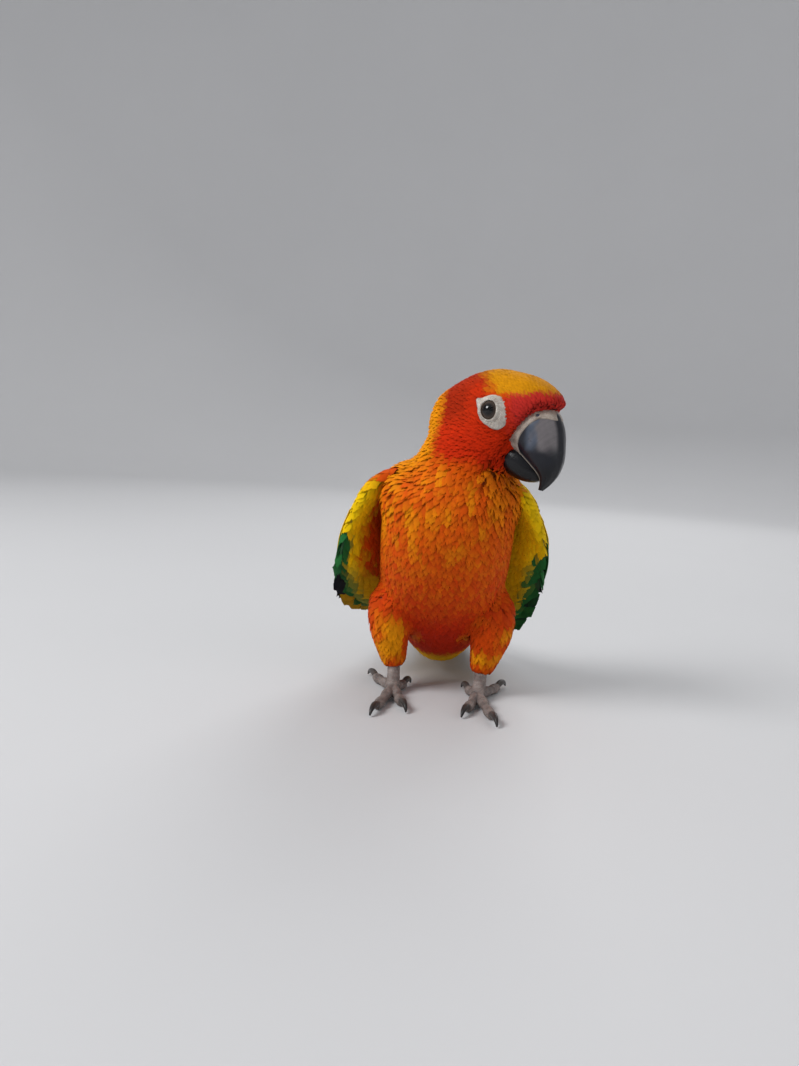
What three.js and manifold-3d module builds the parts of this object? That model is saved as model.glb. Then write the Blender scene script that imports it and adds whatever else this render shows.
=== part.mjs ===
// Sun conure standing on the floor with its head turned to its left, life size.
// Millimetres, +Z up. The bird faces -Y and its left side is +X.
import * as THREE from "three";
import { mergeVertices } from "three/addons/utils/BufferGeometryUtils.js";
import Module from "manifold-3d";

const wasm = await Module();
wasm.setup();

// Driving dimensions
const GAP = 0.3; // clearance between touching pieces
const HEAD_YAW = 55; // degrees that the face turns to the bird's left
const EYE_OFF_MIDLINE = 13.3;
const EYE_BALL_RADIUS = 3.9;
const EYE_BALL_SUNK = 2.05; // its centre's depth under the skin
const EYE_RING_RADIUS = 5.1;
const NOSTRIL_RADIUS = 0.7;
const VANE_THICKNESS = 0.6;
const VANE_STEP = 0.85; // height from one stacked vane to the next
const TAIL_PAIRS = 6;
const TAIL_GRADE = 0.092; // how much shorter each pair of tail feathers is than the next inner one
const TOE_RADIUS = 1.9;
const FOOT_SPREAD = 15.5; // each foot's distance from the midline
const AROUND = 22; // points round a section of the body

const COLOURS = {
  orange: [0xe0701a, 0.85],
  red: [0xc8321a, 0.85],
  yellow: [0xe8b818, 0.85],
  tail: [0x6d7a2c, 0.8],
  skin: [0xd8d6cf, 0.7],
  eye: [0x14100e, 0.15],
  bill: [0x34343c, 0.35],
  foot: [0x9a8f8a, 0.7],
  claw: [0x2c2a2c, 0.4],
};

// A point by its distance left of the midline, forward of the feet and above the floor.
const point = (left, forward, up) => new THREE.Vector3(left, -forward, up);
const mix = (a, b, t) => a + (b - a) * t;
const smooth = (t) => {
  const c = Math.min(1, Math.max(0, t));
  return c * c * (3 - 2 * c);
};
const degrees = (angle) => (angle * Math.PI) / 180;
const UP = new THREE.Vector3(0, 0, 1);
const SIDEWAYS = new THREE.Vector3(1, 0, 0);

// Catmull-Rom value at t from 0 to 1 through rows of numbers.
function along(rows, t) {
  const spans = rows.length - 1;
  const at = Math.min(spans - 1e-9, Math.max(0, t * spans));
  const i = Math.floor(at);
  const u = at - i;
  const row = (k) => rows[Math.min(spans, Math.max(0, k))];
  return rows[i].map((_, c) => {
    const [p, q, r, s] = [row(i - 1)[c], row(i)[c], row(i + 1)[c], row(i + 2)[c]];
    const bend = 2 * p - 5 * q + 4 * r - s;
    const twist = 3 * q - p - 3 * r + s;
    return 0.5 * (2 * q + (r - p) * u + bend * u * u + twist * u ** 3);
  });
}

function closedMesh(points, faces) {
  const geometry = new THREE.BufferGeometry();
  geometry.setAttribute("position", new THREE.Float32BufferAttribute(points.flatMap((p) => p.toArray()), 3));
  geometry.setIndex(faces.flat());
  return geometry;
}

// Joins rings of points into one closed surface, each end closed by a fan, or by two triangles for a vane's
// four points.
function loft(rings) {
  const n = rings[0].length;
  const points = rings.flat();
  const faces = [];
  for (let i = 0; i < rings.length - 1; i++) {
    for (let j = 0; j < n; j++) {
      const k = (j + 1) % n;
      const [a, b, c, d] = [i * n + j, i * n + k, (i + 1) * n + k, (i + 1) * n + j];
      // The underside of a vane is divided along the same diagonal as its top.
      if (n === 4 && j === 2) faces.push([a, b, d], [b, c, d]);
      else faces.push([a, b, c], [a, c, d]);
    }
  }
  if (n === 4) {
    const last = points.length - n;
    faces.push([2, 1, 0], [3, 2, 0], [last, last + 1, last + 2], [last, last + 2, last + 3]);
    return closedMesh(points, faces);
  }
  for (const [ring, turned] of [[0, true], [rings.length - 1, false]]) {
    const middle = new THREE.Vector3();
    rings[ring].forEach((p) => middle.addScaledVector(p, 1 / n));
    points.push(middle);
    for (let j = 0; j < n; j++) {
      const [a, b] = [ring * n + j, ring * n + ((j + 1) % n)];
      faces.push(turned ? [b, a, points.length - 1] : [a, b, points.length - 1]);
    }
  }
  return closedMesh(points, faces);
}

// A ring of half-width side, and half-heights top and bottom, squarer as power rises above 2.
function ring(centre, sideways, upward, side, top, bottom, count = AROUND, power = 2) {
  return Array.from({ length: count }, (_, j) => {
    const angle = (2 * Math.PI * j) / count;
    const [c, s] = [Math.cos(angle), Math.sin(angle)];
    const bend = (v) => Math.sign(v) * Math.abs(v) ** (2 / power);
    return centre
      .clone()
      .addScaledVector(sideways, side * bend(c))
      .addScaledVector(upward, (s > 0 ? top : bottom) * bend(s));
  });
}

function solid(geometry) {
  const plain = geometry.clone();
  plain.deleteAttribute("normal");
  plain.deleteAttribute("uv");
  const merged = mergeVertices(plain, 1e-4);
  const vertProperties = merged.attributes.position.array;
  const body = (indices) =>
    new wasm.Manifold(new wasm.Mesh({ numProp: 3, vertProperties, triVerts: new Uint32Array(indices) }));
  const made = body(merged.index.array);
  if (made.volume() > 0) return made;
  const turned = merged.index.array.slice();
  for (let i = 0; i < turned.length; i += 3) {
    [turned[i + 1], turned[i + 2]] = [turned[i + 2], turned[i + 1]];
  }
  return body(turned);
}

const joined = (solids) => solids.reduce((all, next) => all.add(next));
const largest = (body) => body.decompose().sort((a, b) => b.volume() - a.volume())[0];

// A block that fills everything on the side of a plane that its normal points to.
function halfSpace(at, normal) {
  const size = 400;
  const block = new THREE.BoxGeometry(size, size, size);
  block.translate(0, 0, size / 2);
  block.applyQuaternion(new THREE.Quaternion().setFromUnitVectors(UP, normal.clone().normalize()));
  block.translate(at.x, at.y, at.z);
  return solid(block);
}

// A tube whose radius follows a list along a curve, flattened by the share given.
function limb(places, radii, steps, count = 12, flatness = 1, across = null) {
  const curve = new THREE.CatmullRomCurve3(places, false, "centripetal");
  const rings = [];
  for (let i = 0; i <= steps; i++) {
    const t = i / steps;
    const [radius] = along(radii.map((r) => [r]), t);
    const ahead = curve.getTangent(t);
    const sideways = across ? across.clone() : UP.clone().cross(ahead);
    sideways.addScaledVector(ahead, -sideways.dot(ahead)).normalize();
    const upward = ahead.clone().cross(sideways).normalize();
    const height = radius * flatness;
    rings.push(ring(curve.getPoint(t), sideways, upward, radius, height, height, count));
  }
  return loft(rings);
}

// Trunk and neck: left, forward, up of the axis, then half-width, breast depth and back depth.
const TRUNK_SQUARENESS = 2.25;
const TRUNK = [
  [0, -42, 8.5, 6.5, 5, 5],
  [0, -33, 15, 11.5, 10.5, 8.5],
  [-0.4, -22.5, 28.5, 18.1, 17, 11.5],
  [-0.7, -11.5, 42, 22.5, 20.5, 14],
  [-0.3, -2.5, 55.5, 23.3, 22.5, 15.5],
  [0, 5, 68.5, 23, 21.5, 15.5],
  [0.3, 8.3, 75.5, 22.9, 18.8, 14.5],
  [1.2, 9.8, 80, 20.8, 17.2, 13.8],
  [2.9, 11.3, 84, 15.8, 15.8, 13],
  [5.6, 13.3, 91, 14.6, 14, 13],
  [9.5, 15.5, 102, 13, 11, 12.5],
];

function trunkShape(grow = 0) {
  const steps = 16;
  const rings = [];
  for (let i = 0; i <= steps; i++) {
    const t = i / steps;
    const [x, f, z, side, front, back] = along(TRUNK, t);
    const before = point(...along(TRUNK, t - 0.01));
    const ahead = point(...along(TRUNK, t + 0.01)).sub(before).setX(0).normalize();
    const upward = ahead.clone().cross(SIDEWAYS).normalize();
    if (upward.y < 0) upward.negate();
    const reach = [side, back, front].map((r) => r + grow);
    rings.push(ring(point(x, f, z), SIDEWAYS, upward, ...reach, AROUND, TRUNK_SQUARENESS));
  }
  return solid(loft(rings));
}

// Head frame: its origin is on the midline of the head, level with the eyes.
const SKULL = point(18, 18.5, 103);
const BEAKWARD = point(Math.sin(degrees(HEAD_YAW)), Math.cos(degrees(HEAD_YAW)), 0);
const HEAD_LEFT = new THREE.Vector3(0, 0, 1).cross(BEAKWARD).normalize();
const onHead = (ahead, left, up) =>
  SKULL.clone().addScaledVector(BEAKWARD, ahead).addScaledVector(HEAD_LEFT, left).addScaledVector(UP, up);

// Head sections from nape to forehead: ahead of the eyes, half-width, top and bottom above the eyes.
const HEAD_SQUARENESS = 2.15;
const HEAD = [
  [-28, 3, -2, -11],
  [-26.5, 7.5, 3, -16],
  [-22.5, 11, 7.6, -19],
  [-16.5, 13.4, 11.4, -20],
  [-9.5, 14.4, 13.8, -20],
  [-3, 14.3, 14.3, -19.2],
  [2, 13.4, 13.4, -15.2],
  [6.5, 12, 12.3, -10],
  [10.5, 10.4, 10.6, -4.4],
  [14.4, 7.8, 7.8, -0.8],
  [17, 4, 4.8, 0.6],
];

function headShape(grow = 0) {
  const steps = 14;
  const rings = [];
  for (let i = 0; i <= steps; i++) {
    const [ahead, side, top, bottom] = along(HEAD, i / steps);
    const half = (top - bottom) / 2 + grow;
    const centre = onHead(ahead, 0, (top + bottom) / 2);
    rings.push(ring(centre, HEAD_LEFT, UP, side + grow, half, half, AROUND, HEAD_SQUARENESS));
  }
  return solid(loft(rings));
}

const BILL_AROUND = 14; // points round a section of the bill

// Bill sections: ahead and up of the ridge, ahead and up of the lower edge, half-width.
const UPPER_BILL = [
  [9, 1.2, 2, -8.6, 6.2],
  [14, -0.6, 5, -10.6, 7.4],
  [17.2, -4, 7.2, -13.6, 7.3],
  [19, -9, 9.8, -16.4, 6.2],
  [19.2, -14, 11.8, -18.4, 4.9],
  [17.9, -18.6, 12.8, -19.9, 3.5],
  [15.6, -21.8, 12.5, -22, 2],
  [13.2, -23.8, 12, -23.5, 0.7],
];
const LOWER_BILL = [
  [0.5, -8.6, -4.5, -15.4, 5.6],
  [4.6, -9.4, -0.8, -17.8, 6.4],
  [8, -11.4, 2.2, -20, 6.2],
  [11, -14.4, 6.2, -21.4, 5.1],
  [12.6, -17, 10, -21.6, 3.8],
  [13.4, -18.8, 12.3, -20.9, 1.8],
];

function billShape(rows, grow, steps) {
  const rings = [];
  for (let i = 0; i <= steps; i++) {
    const [f1, u1, f2, u2, side] = along(rows, i / steps);
    const upward = onHead(f1, 0, u1).sub(onHead(f2, 0, u2));
    const half = upward.length() / 2 + grow;
    const centre = onHead((f1 + f2) / 2, 0, (u1 + u2) / 2);
    rings.push(ring(centre, HEAD_LEFT, upward.normalize(), side + grow, half, half, BILL_AROUND));
  }
  return solid(loft(rings));
}

// The slab of cere: everything behind a plane that slants down and back from the base of the ridge.
const CERE_TOP = onHead(13.4, 0, -0.3);
const CERE_NORMAL = BEAKWARD.clone().multiplyScalar(0.72).addScaledVector(UP, -0.7).normalize();
const cereEdge = (offset) => CERE_TOP.clone().addScaledVector(CERE_NORMAL, offset);
const behindCere = (offset) => halfSpace(cereEdge(offset), CERE_NORMAL.clone().negate());
const beyondCere = (offset) => halfSpace(cereEdge(offset), CERE_NORMAL);

function nostril(side) {
  const at = onHead(12.2, side * 4.2, -0.4);
  const hole = new THREE.CylinderGeometry(NOSTRIL_RADIUS, NOSTRIL_RADIUS, 3, 8);
  const out = HEAD_LEFT.clone().multiplyScalar(side * 0.6).addScaledVector(UP, 0.6);
  out.addScaledVector(BEAKWARD, 0.5).normalize();
  hole.applyQuaternion(new THREE.Quaternion().setFromUnitVectors(new THREE.Vector3(0, 1, 0), out));
  hole.translate(at.x, at.y, at.z);
  return solid(hole);
}

// Each eye looks out to the side, a little forward and up.
const eyeOutward = (side) =>
  HEAD_LEFT.clone().multiplyScalar(side).addScaledVector(BEAKWARD, 0.24).addScaledVector(UP, 0.1).normalize();
const eyeSurface = (side) => onHead(0, side * (EYE_OFF_MIDLINE + 0.6), 0.2);

function turnedTo(geometry, outward, at) {
  geometry.applyQuaternion(new THREE.Quaternion().setFromUnitVectors(new THREE.Vector3(0, 1, 0), outward));
  geometry.translate(at.x, at.y, at.z);
  return solid(geometry);
}

function eyeBall(side, grow = 0) {
  const out = eyeOutward(side);
  const at = eyeSurface(side).addScaledVector(out, -EYE_BALL_SUNK);
  return turnedTo(new THREE.SphereGeometry(EYE_BALL_RADIUS + grow, 12, 8), out, at);
}

// Bare skin round the eye, with the lid as its raised inner rim.
function eyeRing(side, grow = 0) {
  const profile = [
    [0, -2.2],
    [EYE_RING_RADIUS - 0.6, -2.2],
    [EYE_RING_RADIUS, -0.9],
    [EYE_RING_RADIUS - 0.4, 0.1],
    [4.2, 0.5],
    [3.5, 1],
    [0, 1],
  ].map(([r, h]) => new THREE.Vector2(r > 0 ? r + grow : 0, h + Math.sign(h) * grow));
  const disc = new THREE.LatheGeometry(profile, 16);
  disc.scale(1, 1, 1.06);
  const at = eyeSurface(side).addScaledVector(BEAKWARD, 0.55).addScaledVector(UP, -0.45);
  return turnedTo(disc, eyeOutward(side), at);
}

// Feathers are laid on a surface that gives a place for s along it and t across it.
function surfaceNormal(place, s, t) {
  const step = 0.004;
  const along = place(s + step, t).sub(place(s - step, t));
  const across = place(s, t + step).sub(place(s, t - step));
  return along.cross(across).normalize();
}

// One feather vane on a surface: from root to tip in (s, t), tilted about its shaft, with its tip rounded.
function vane(place, outward, { root, tip, width, lift = [0, 0], tilt = 0, steps = 5, taper = 0.75 }) {
  const rings = [];
  const nudge = 0.02;
  for (let i = 0; i <= steps; i++) {
    const u = i / steps;
    const [s, t] = [mix(root[0], tip[0], u), mix(root[1], tip[1], u)];
    const at = place(s, t);
    const next = place(s + (tip[0] - root[0]) * nudge, t + (tip[1] - root[1]) * nudge);
    const ahead = next.sub(at).normalize();
    const normal = surfaceNormal(place, s, t).multiplyScalar(outward);
    const sideways = ahead.clone().cross(normal).normalize().multiplyScalar(outward);
    sideways.applyAxisAngle(ahead, tilt * outward);
    const up = sideways.clone().cross(ahead).normalize();
    if (up.dot(normal) < 0) up.negate();
    const last = i === steps;
    const shape = u < 0.55 ? mix(0.62, 1, smooth(u / 0.55)) : Math.sqrt(1 - ((u - 0.55) / 0.45) ** 2 * taper);
    const half = (width / 2) * shape * (last ? 0.55 : 1);
    const thick = (VANE_THICKNESS / 2) * (last ? 0.5 : 1);
    const centre = at.addScaledVector(normal, mix(lift[0], lift[1], u));
    const corner = (across, over) =>
      centre.clone().addScaledVector(sideways, across * half).addScaledVector(up, over * thick);
    rings.push([corner(-1, 1), corner(1, 1), corner(1, -1), corner(-1, -1)]);
  }
  return solid(loft(rings));
}

// Wing edges from shoulder to tip: left, forward, up. The free edge is the leading edge of the folded wing,
// and the two wings are held a little differently.
const FREE_EDGE = {
  left: [
    [17, 15, 82],
    [27, 14.5, 77],
    [33, 8, 66],
    [36, 0, 56.5],
    [36.6, -10, 45],
    [35, -21, 32.5],
    [30, -36, 21],
    [24, -54, 15.5],
    [18, -73, 12.5],
    [12.5, -92, 10.5],
    [8, -110, 9],
  ],
  right: [
    [17, 13, 81],
    [28, 12.5, 74.5],
    [35.2, 8, 63],
    [39, 3, 50],
    [39.8, -6, 38.5],
    [36.5, -18, 30.5],
    [29.5, -34, 24],
    [23, -54, 18.5],
    [18, -73, 15],
    [13, -92, 12],
    [8.5, -110, 10],
  ],
};
const BACK_EDGE = [
  [11, 0, 83.5],
  [11.5, -6.5, 80],
  [10.5, -13, 74],
  [9, -20.5, 65.5],
  [7.8, -28, 56],
  [6.8, -37, 46],
  [6, -48, 36.5],
  [5.5, -61, 28.5],
  [5, -77, 21.5],
  [5, -93, 16],
  [5, -110, 12.5],
];

// The wing's outer surface: s from shoulder to tip, t from the back edge to the free edge.
function wingSurface(side) {
  return (s, t) => {
    const free = along(side > 0 ? FREE_EDGE.left : FREE_EDGE.right, s);
    const back = along(BACK_EDGE, s);
    const bulge = mix(6.5, 0.8, smooth(s / 0.9)) * mix(0.2, 1, smooth(s / 0.25)) * 4 * t * (1 - t);
    const [x, f, z] = free.map((v, i) => mix(back[i], v, t));
    return point(side * (x + bulge * 0.45), f - bulge * 0.35, z + bulge * 0.6);
  };
}

// The arm under its small coverts: thick at the free edge, thin along the back.
function wingArm(side, place) {
  const steps = 6;
  const count = 6;
  const rings = [];
  for (let i = 0; i <= steps; i++) {
    const s = mix(0, 0.36, i / steps);
    const outer = [];
    const inner = [];
    for (let j = 0; j <= count; j++) {
      const t = mix(0.02, 1, j / count);
      const at = place(s, t);
      const inward = surfaceNormal(place, s, t).multiplyScalar(side);
      const fade = mix(0.4, 1, smooth(s / 0.12)) * mix(1, 0.45, i / steps);
      const rounded = Math.sqrt(Math.max(0.04, 1 - ((t - 0.52) / 0.52) ** 6));
      const thick = fade * mix(3, 6.2, smooth(t / 0.8)) * rounded;
      outer.push(at.clone());
      inner.push(at.addScaledVector(inward, thick + VANE_THICKNESS));
    }
    rings.push([...outer, ...inner.reverse()]);
  }
  return solid(loft(rings));
}

// Rows of wing feathers from the free edge inwards: first and last root in (s, t), first and last width,
// and height at root and tip.
const FLIGHT_LIFT = [-1.2, -0.8];
const WING_ROWS = {
  flight: { count: 10, roots: [[0.27, 0.92], [0.25, 0.1]], widths: [8.8, 11.8], lift: FLIGHT_LIFT, steps: 4 },
  greater: { count: 6, roots: [[0.2, 0.9], [0.17, 0.12]], widths: [8, 9.5], lift: [0.2, 0.9], steps: 3 },
  median: { count: 5, roots: [[0.11, 0.88], [0.08, 0.14]], widths: [8.5, 10], lift: [0.2, 0.9], steps: 3 },
};
const WING_TILT = degrees(13);
const FLIGHT_TIPS = [
  [0.985, 0.9],
  [1, 0.55],
  [0.975, 0.3],
  [0.93, 0.25],
  [0.88, 0.2],
  [0.82, 0.17],
  [0.77, 0.15],
  [0.71, 0.13],
  [0.65, 0.12],
  [0.59, 0.1],
  [0.52, 0.1],
];
const rowTip = {
  flight: (u) => along(FLIGHT_TIPS, u),
  greater: (u) => [mix(0.46, 0.36, smooth(u * 1.4)), mix(0.88, 0.12, u)],
  median: (u) => [mix(0.29, 0.24, u), mix(0.88, 0.14, u)],
};

function wingFeathers(side, place) {
  const vanes = [];
  for (const [name, { count, roots, widths, lift, steps }] of Object.entries(WING_ROWS)) {
    for (let k = 0; k < count; k++) {
      const u = k / (count - 1);
      const root = roots[0].map((first, i) => mix(first, roots[1][i], u));
      const width = mix(widths[0], widths[1], u);
      const tip = rowTip[name](u);
      vanes.push(vane(place, -side, { root, tip, width, lift, tilt: WING_TILT, steps }));
    }
  }
  return vanes;
}

function wing(side) {
  const place = wingSurface(side);
  return joined([wingArm(side, place), ...wingFeathers(side, place)]);
}

// Tail surface, from the rump down to the floor: s from root to tip, t in millimetres from the midline.
const TAIL_LINE = [
  [-36, 13.5],
  [-50, 9.2],
  [-66, 6.4],
  [-84, 4.4],
  [-104, 2.6],
  [-126, 1.2],
  [-148, 0.55],
  [-168, 0.4],
];
const tailPlace = (s, t) => {
  const [f, z] = along(TAIL_LINE, s);
  return point(t, f, z - (t * t) / 60);
};

function tailFeathers() {
  const vanes = [];
  for (let pair = 0; pair < TAIL_PAIRS; pair++) {
    const spread = mix(1.2, 10.5, pair / (TAIL_PAIRS - 1));
    for (const side of [1, -1]) {
      const stacked = TAIL_PAIRS - 1 - pair + (pair === 0 && side > 0 ? 1 : 0);
      vanes.push(
        vane((s, t) => stackedPlace(s, t, stacked), 1, {
          root: [0, side * spread * 0.32],
          tip: [1 - pair * TAIL_GRADE, side * spread * 0.85],
          width: pair < 2 ? 9.5 : 8.5,
          steps: 4,
          taper: 0.9,
        }),
      );
    }
  }
  return vanes;
}

// The place of a tail feather that lies on others: it comes down past the tip of each.
function stackedPlace(s, t, stacked) {
  const spot = tailPlace(s, t);
  let below = 0;
  for (let k = 1; k <= stacked; k++) {
    below += smooth((1 - (TAIL_PAIRS - k) * TAIL_GRADE - s + 0.1) / 0.16);
  }
  spot.z += VANE_STEP * below * mix(0.85, 1, s);
  return spot;
}

function tailRoot() {
  const rings = [];
  const rows = [
    [-30, 15, 9, 7],
    [-38, 12.6, 9.5, 6.2],
    [-46, 10.6, 9, 4.8],
    [-54, 9, 8, 3.4],
    [-60, 8, 6.5, 2.2],
  ];
  for (let i = 0; i <= 6; i++) {
    const [f, z, side, half] = along(rows, i / 6);
    rings.push(ring(point(0, f, z), SIDEWAYS, UP, side, half, half, 14, TRUNK_SQUARENESS));
  }
  return solid(loft(rings));
}

// Coverts above and below the root of the tail.
function tailCoverts() {
  const vanes = [];
  const count = 4;
  const spacing = 4.4;
  for (const [over, base, reach] of [[1, 4.6, 0.36], [-1, -3.2, 0.4]]) {
    for (let k = 0; k < count; k++) {
      const t = (k - (count - 1) / 2) * spacing;
      const place = (s, x) => {
        const spot = tailPlace(s, x);
        spot.z += base * mix(1, over > 0 ? 1 : 0.25, s / reach) - Math.abs(x) * 0.12 * over;
        return spot;
      };
      vanes.push(
        vane(place, over, {
          root: [0.06, t * 0.8],
          tip: [reach - Math.abs(t) * 0.018, t],
          width: 7.5,
          lift: [0, 0.3],
          tilt: degrees(t > 0 ? 9 : -9),
          steps: 3,
        }),
      );
    }
  }
  return vanes;
}

// Legs
const ankle = (side) => point(side * (FOOT_SPREAD + 1), -9.5, 14);
const sole = (side) => point(side * FOOT_SPREAD, 0.5, 3);

function thigh(side, grow = 0) {
  const places = [
    point(side * 13, -9, 44),
    point(side * 17.5, -6, 34),
    point(side * 18.6, -5, 25),
    point(side * 17.3, -5.6, 17),
    point(side * 16, -6.4, 9.5),
  ];
  const radii = [5, 9, 7.9, 5.9, 3.8].map((r) => r + grow);
  return solid(limb(places, radii, 7, 12, 1, SIDEWAYS));
}

function shank(side) {
  const places = [ankle(side), ankle(side).lerp(sole(side), 0.5), sole(side)];
  places[1].z -= 0.6;
  return solid(limb(places, [2.5, 2.3, 2.6], 3, 8, 1, SIDEWAYS));
}

// Toes: name, direction in degrees from straight ahead towards the outside, length, and claw length.
const TOES = [
  ["inner_front", -17, 14, 7.5],
  ["outer_front", 12, 19.5, 8],
  ["outer_back", 152, 16.5, 8],
  ["inner_back", -158, 9.5, 6.5],
];

function toeLine(side, angle, length) {
  const away = point(side * Math.sin(degrees(angle)), Math.cos(degrees(angle)), 0);
  const place = (share, up) => sole(side).addScaledVector(away, length * share).setZ(up);
  return { away, place };
}

function toe(side, angle, length) {
  const { place } = toeLine(side, angle, length);
  const places = [place(0, 2.6), place(0.33, 2.5), place(0.66, 1.9), place(1, 1.7)];
  const pads = [0.3, -0.2, 0.1, -0.35, 0, -0.5].map((swell) => TOE_RADIUS + swell);
  return solid(limb(places, pads, 5, 8, 0.95));
}

function claw(side, angle, length, reach, grow = 0) {
  const { away, place } = toeLine(side, angle, length);
  const at = (out, up) => place(1, up).addScaledVector(away, out);
  const places = [at(-1.2, 1.9), at(reach * 0.32, 2.9), at(reach * 0.7, 2.4), at(reach * 0.92, 0.75)];
  return solid(limb(places, [1.15 + grow, 1.15 + grow, 0.8 + grow, 0.3 + grow], 5, 6));
}

// The bird, piece by piece
const aboveFloor = halfSpace(new THREE.Vector3(0, 0, 0), UP);
const trunk = trunkShape();
const trunkGrown = trunkShape(GAP);
const headGrown = headShape(GAP);

const NECK_FOOT = point(1.5, 9.5, 80.5);
const NECK_FOOT_NORMAL = point(0.12, 0.34, 0.93).normalize();
const NECK_HEAD = point(7.5, 12.5, 91);
const NECK_HEAD_NORMAL = UP.clone().multiplyScalar(0.88).addScaledVector(BEAKWARD, 0.47).normalize();

const pieces = [];
function add(name, body, [colour, roughness]) {
  const mesh = largest(body).getMesh();
  const positions = new Float32Array(mesh.numVert * 3);
  for (let i = 0; i < mesh.numVert; i++) {
    positions.set(mesh.vertProperties.subarray(i * mesh.numProp, i * mesh.numProp + 3), i * 3);
  }
  const geometry = new THREE.BufferGeometry();
  geometry.setAttribute("position", new THREE.BufferAttribute(positions, 3));
  geometry.setIndex(new THREE.BufferAttribute(mesh.triVerts, 1));
  geometry.computeVertexNormals();
  const material = new THREE.MeshStandardMaterial({ color: colour, roughness, metalness: 0 });
  const piece = new THREE.Mesh(geometry, material);
  piece.name = name;
  pieces.push(piece);
}

const upperBill = billShape(UPPER_BILL, 0, 12);
const upperBillGrown = billShape(UPPER_BILL, GAP, 12);
const cereBand = billShape(UPPER_BILL, 0.3, 12).intersect(behindCere(0));
const cereBandGrown = billShape(UPPER_BILL, 0.3 + GAP, 12).intersect(behindCere(GAP));
const lowerBill = billShape(LOWER_BILL, 0, 8);
const lowerBillGrown = billShape(LOWER_BILL, GAP, 8);
const eyePieces = [1, -1].map((side) => joined([eyeBall(side, GAP), eyeRing(side, GAP)]));

const aboveNeckFoot = halfSpace(NECK_FOOT, NECK_FOOT_NORMAL);
const headAndNeck = headShape().add(trunk.intersect(aboveNeckFoot));
const headCuts = [cereBandGrown, upperBillGrown, lowerBillGrown, ...eyePieces];
const openedHead = headCuts.reduce((body, cut) => body.subtract(cut), headAndNeck);
const shortOf = (at, normal) => halfSpace(at.clone().addScaledVector(normal, -GAP), normal.clone().negate());

add("head", openedHead.intersect(halfSpace(NECK_HEAD, NECK_HEAD_NORMAL)), COLOURS.red);
add("neck", openedHead.intersect(shortOf(NECK_HEAD, NECK_HEAD_NORMAL)), COLOURS.orange);
add(
  "torso",
  trunk.subtract(joined([headGrown, lowerBillGrown])).intersect(shortOf(NECK_FOOT, NECK_FOOT_NORMAL)),
  COLOURS.orange,
);
add("cere", cereBand.subtract(joined([nostril(1), nostril(-1)])), COLOURS.skin);
add("upper_mandible", upperBill.intersect(beyondCere(GAP)), COLOURS.bill);
add("lower_mandible", lowerBill.subtract(joined([upperBillGrown, cereBandGrown])), COLOURS.bill);

const tailRaw = joined([tailRoot(), ...tailFeathers(), ...tailCoverts()]).intersect(aboveFloor);
const tailBody = tailRaw.subtract(trunkGrown);

for (const [word, side] of [["left", 1], ["right", -1]]) {
  add(`eye_${word}`, eyeBall(side), COLOURS.eye);
  add(`eye_ring_${word}`, eyeRing(side).subtract(eyeBall(side, GAP)), COLOURS.skin);
  add(`wing_${word}`, wing(side).subtract(joined([trunkGrown, thigh(side, GAP)])), COLOURS.yellow);
  add(`thigh_${word}`, thigh(side).subtract(trunkGrown), COLOURS.orange);
  const toes = TOES.map(([, angle, length]) => toe(side, angle, length));
  const foot = joined([shank(side), ...toes]).intersect(aboveFloor).subtract(thigh(side, GAP));
  const clawsGrown = joined(TOES.map(([, angle, length, reach]) => claw(side, angle, length, reach, GAP)));
  add(`foot_${word}`, foot.subtract(clawsGrown), COLOURS.foot);
  for (const [name, angle, length, reach] of TOES) {
    add(`claw_${word}_${name}`, claw(side, angle, length, reach).intersect(aboveFloor), COLOURS.claw);
  }
}
add("tail", tailBody, COLOURS.tail);

const bird = new THREE.Group();
bird.name = "sun_conure";
bird.add(...pieces);

// The origin is on the floor, under the middle of the bird.
const box = new THREE.Box3().setFromObject(bird);
bird.position.set(-(box.min.x + box.max.x) / 2, -(box.min.y + box.max.y) / 2, -box.min.z);

export default bird;
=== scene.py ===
# A life-size sun conure on a pale studio floor: one skin over the solids of its flesh, dressed with feathers.
# Sizes are in millimetres in the bird's own terms (left, forward, up) and become metres when a mesh is made.
import math

import bpy
import numpy as np
from mathutils import Matrix, Vector
from mathutils.bvhtree import BVHTree
from mathutils.kdtree import KDTree


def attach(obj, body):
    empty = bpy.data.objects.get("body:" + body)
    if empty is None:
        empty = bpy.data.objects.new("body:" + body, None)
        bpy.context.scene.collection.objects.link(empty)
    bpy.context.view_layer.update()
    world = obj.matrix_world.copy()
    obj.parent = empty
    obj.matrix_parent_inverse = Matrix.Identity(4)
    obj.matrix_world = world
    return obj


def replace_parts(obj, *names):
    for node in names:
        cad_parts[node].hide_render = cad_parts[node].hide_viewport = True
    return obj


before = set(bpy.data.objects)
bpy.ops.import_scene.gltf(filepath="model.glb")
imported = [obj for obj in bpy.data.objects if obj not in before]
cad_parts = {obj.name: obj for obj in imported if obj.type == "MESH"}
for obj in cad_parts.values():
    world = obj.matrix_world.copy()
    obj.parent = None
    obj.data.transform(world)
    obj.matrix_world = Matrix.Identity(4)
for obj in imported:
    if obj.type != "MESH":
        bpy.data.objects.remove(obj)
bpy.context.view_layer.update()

MM = 0.001
RANDOM = np.random.default_rng(11)

# Camera, from the photograph: 799 by 1066 pixels
PHOTO_HEIGHT = 1066
FOCAL_PIXELS = 800
SENSOR_HEIGHT = 36
CAMERA_BEFORE_FEET = 283
CAMERA_HEIGHT = 92
CAMERA_PITCH = 6.6
CAMERA_YAW = 3.45
CAMERA_ROLL = 4.0

# Head
EYE_CENTRE_BEHIND = 0.476  # the eyeballs' centres lie this far behind the middle of the head
HEAD_PLACE = (18, 18.5, 103)
EYE_BALL_RADIUS = 3.9
EYE_BALL_SUNK = 2.05
EYE_OPENING = (2.4, 2.95)

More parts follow.
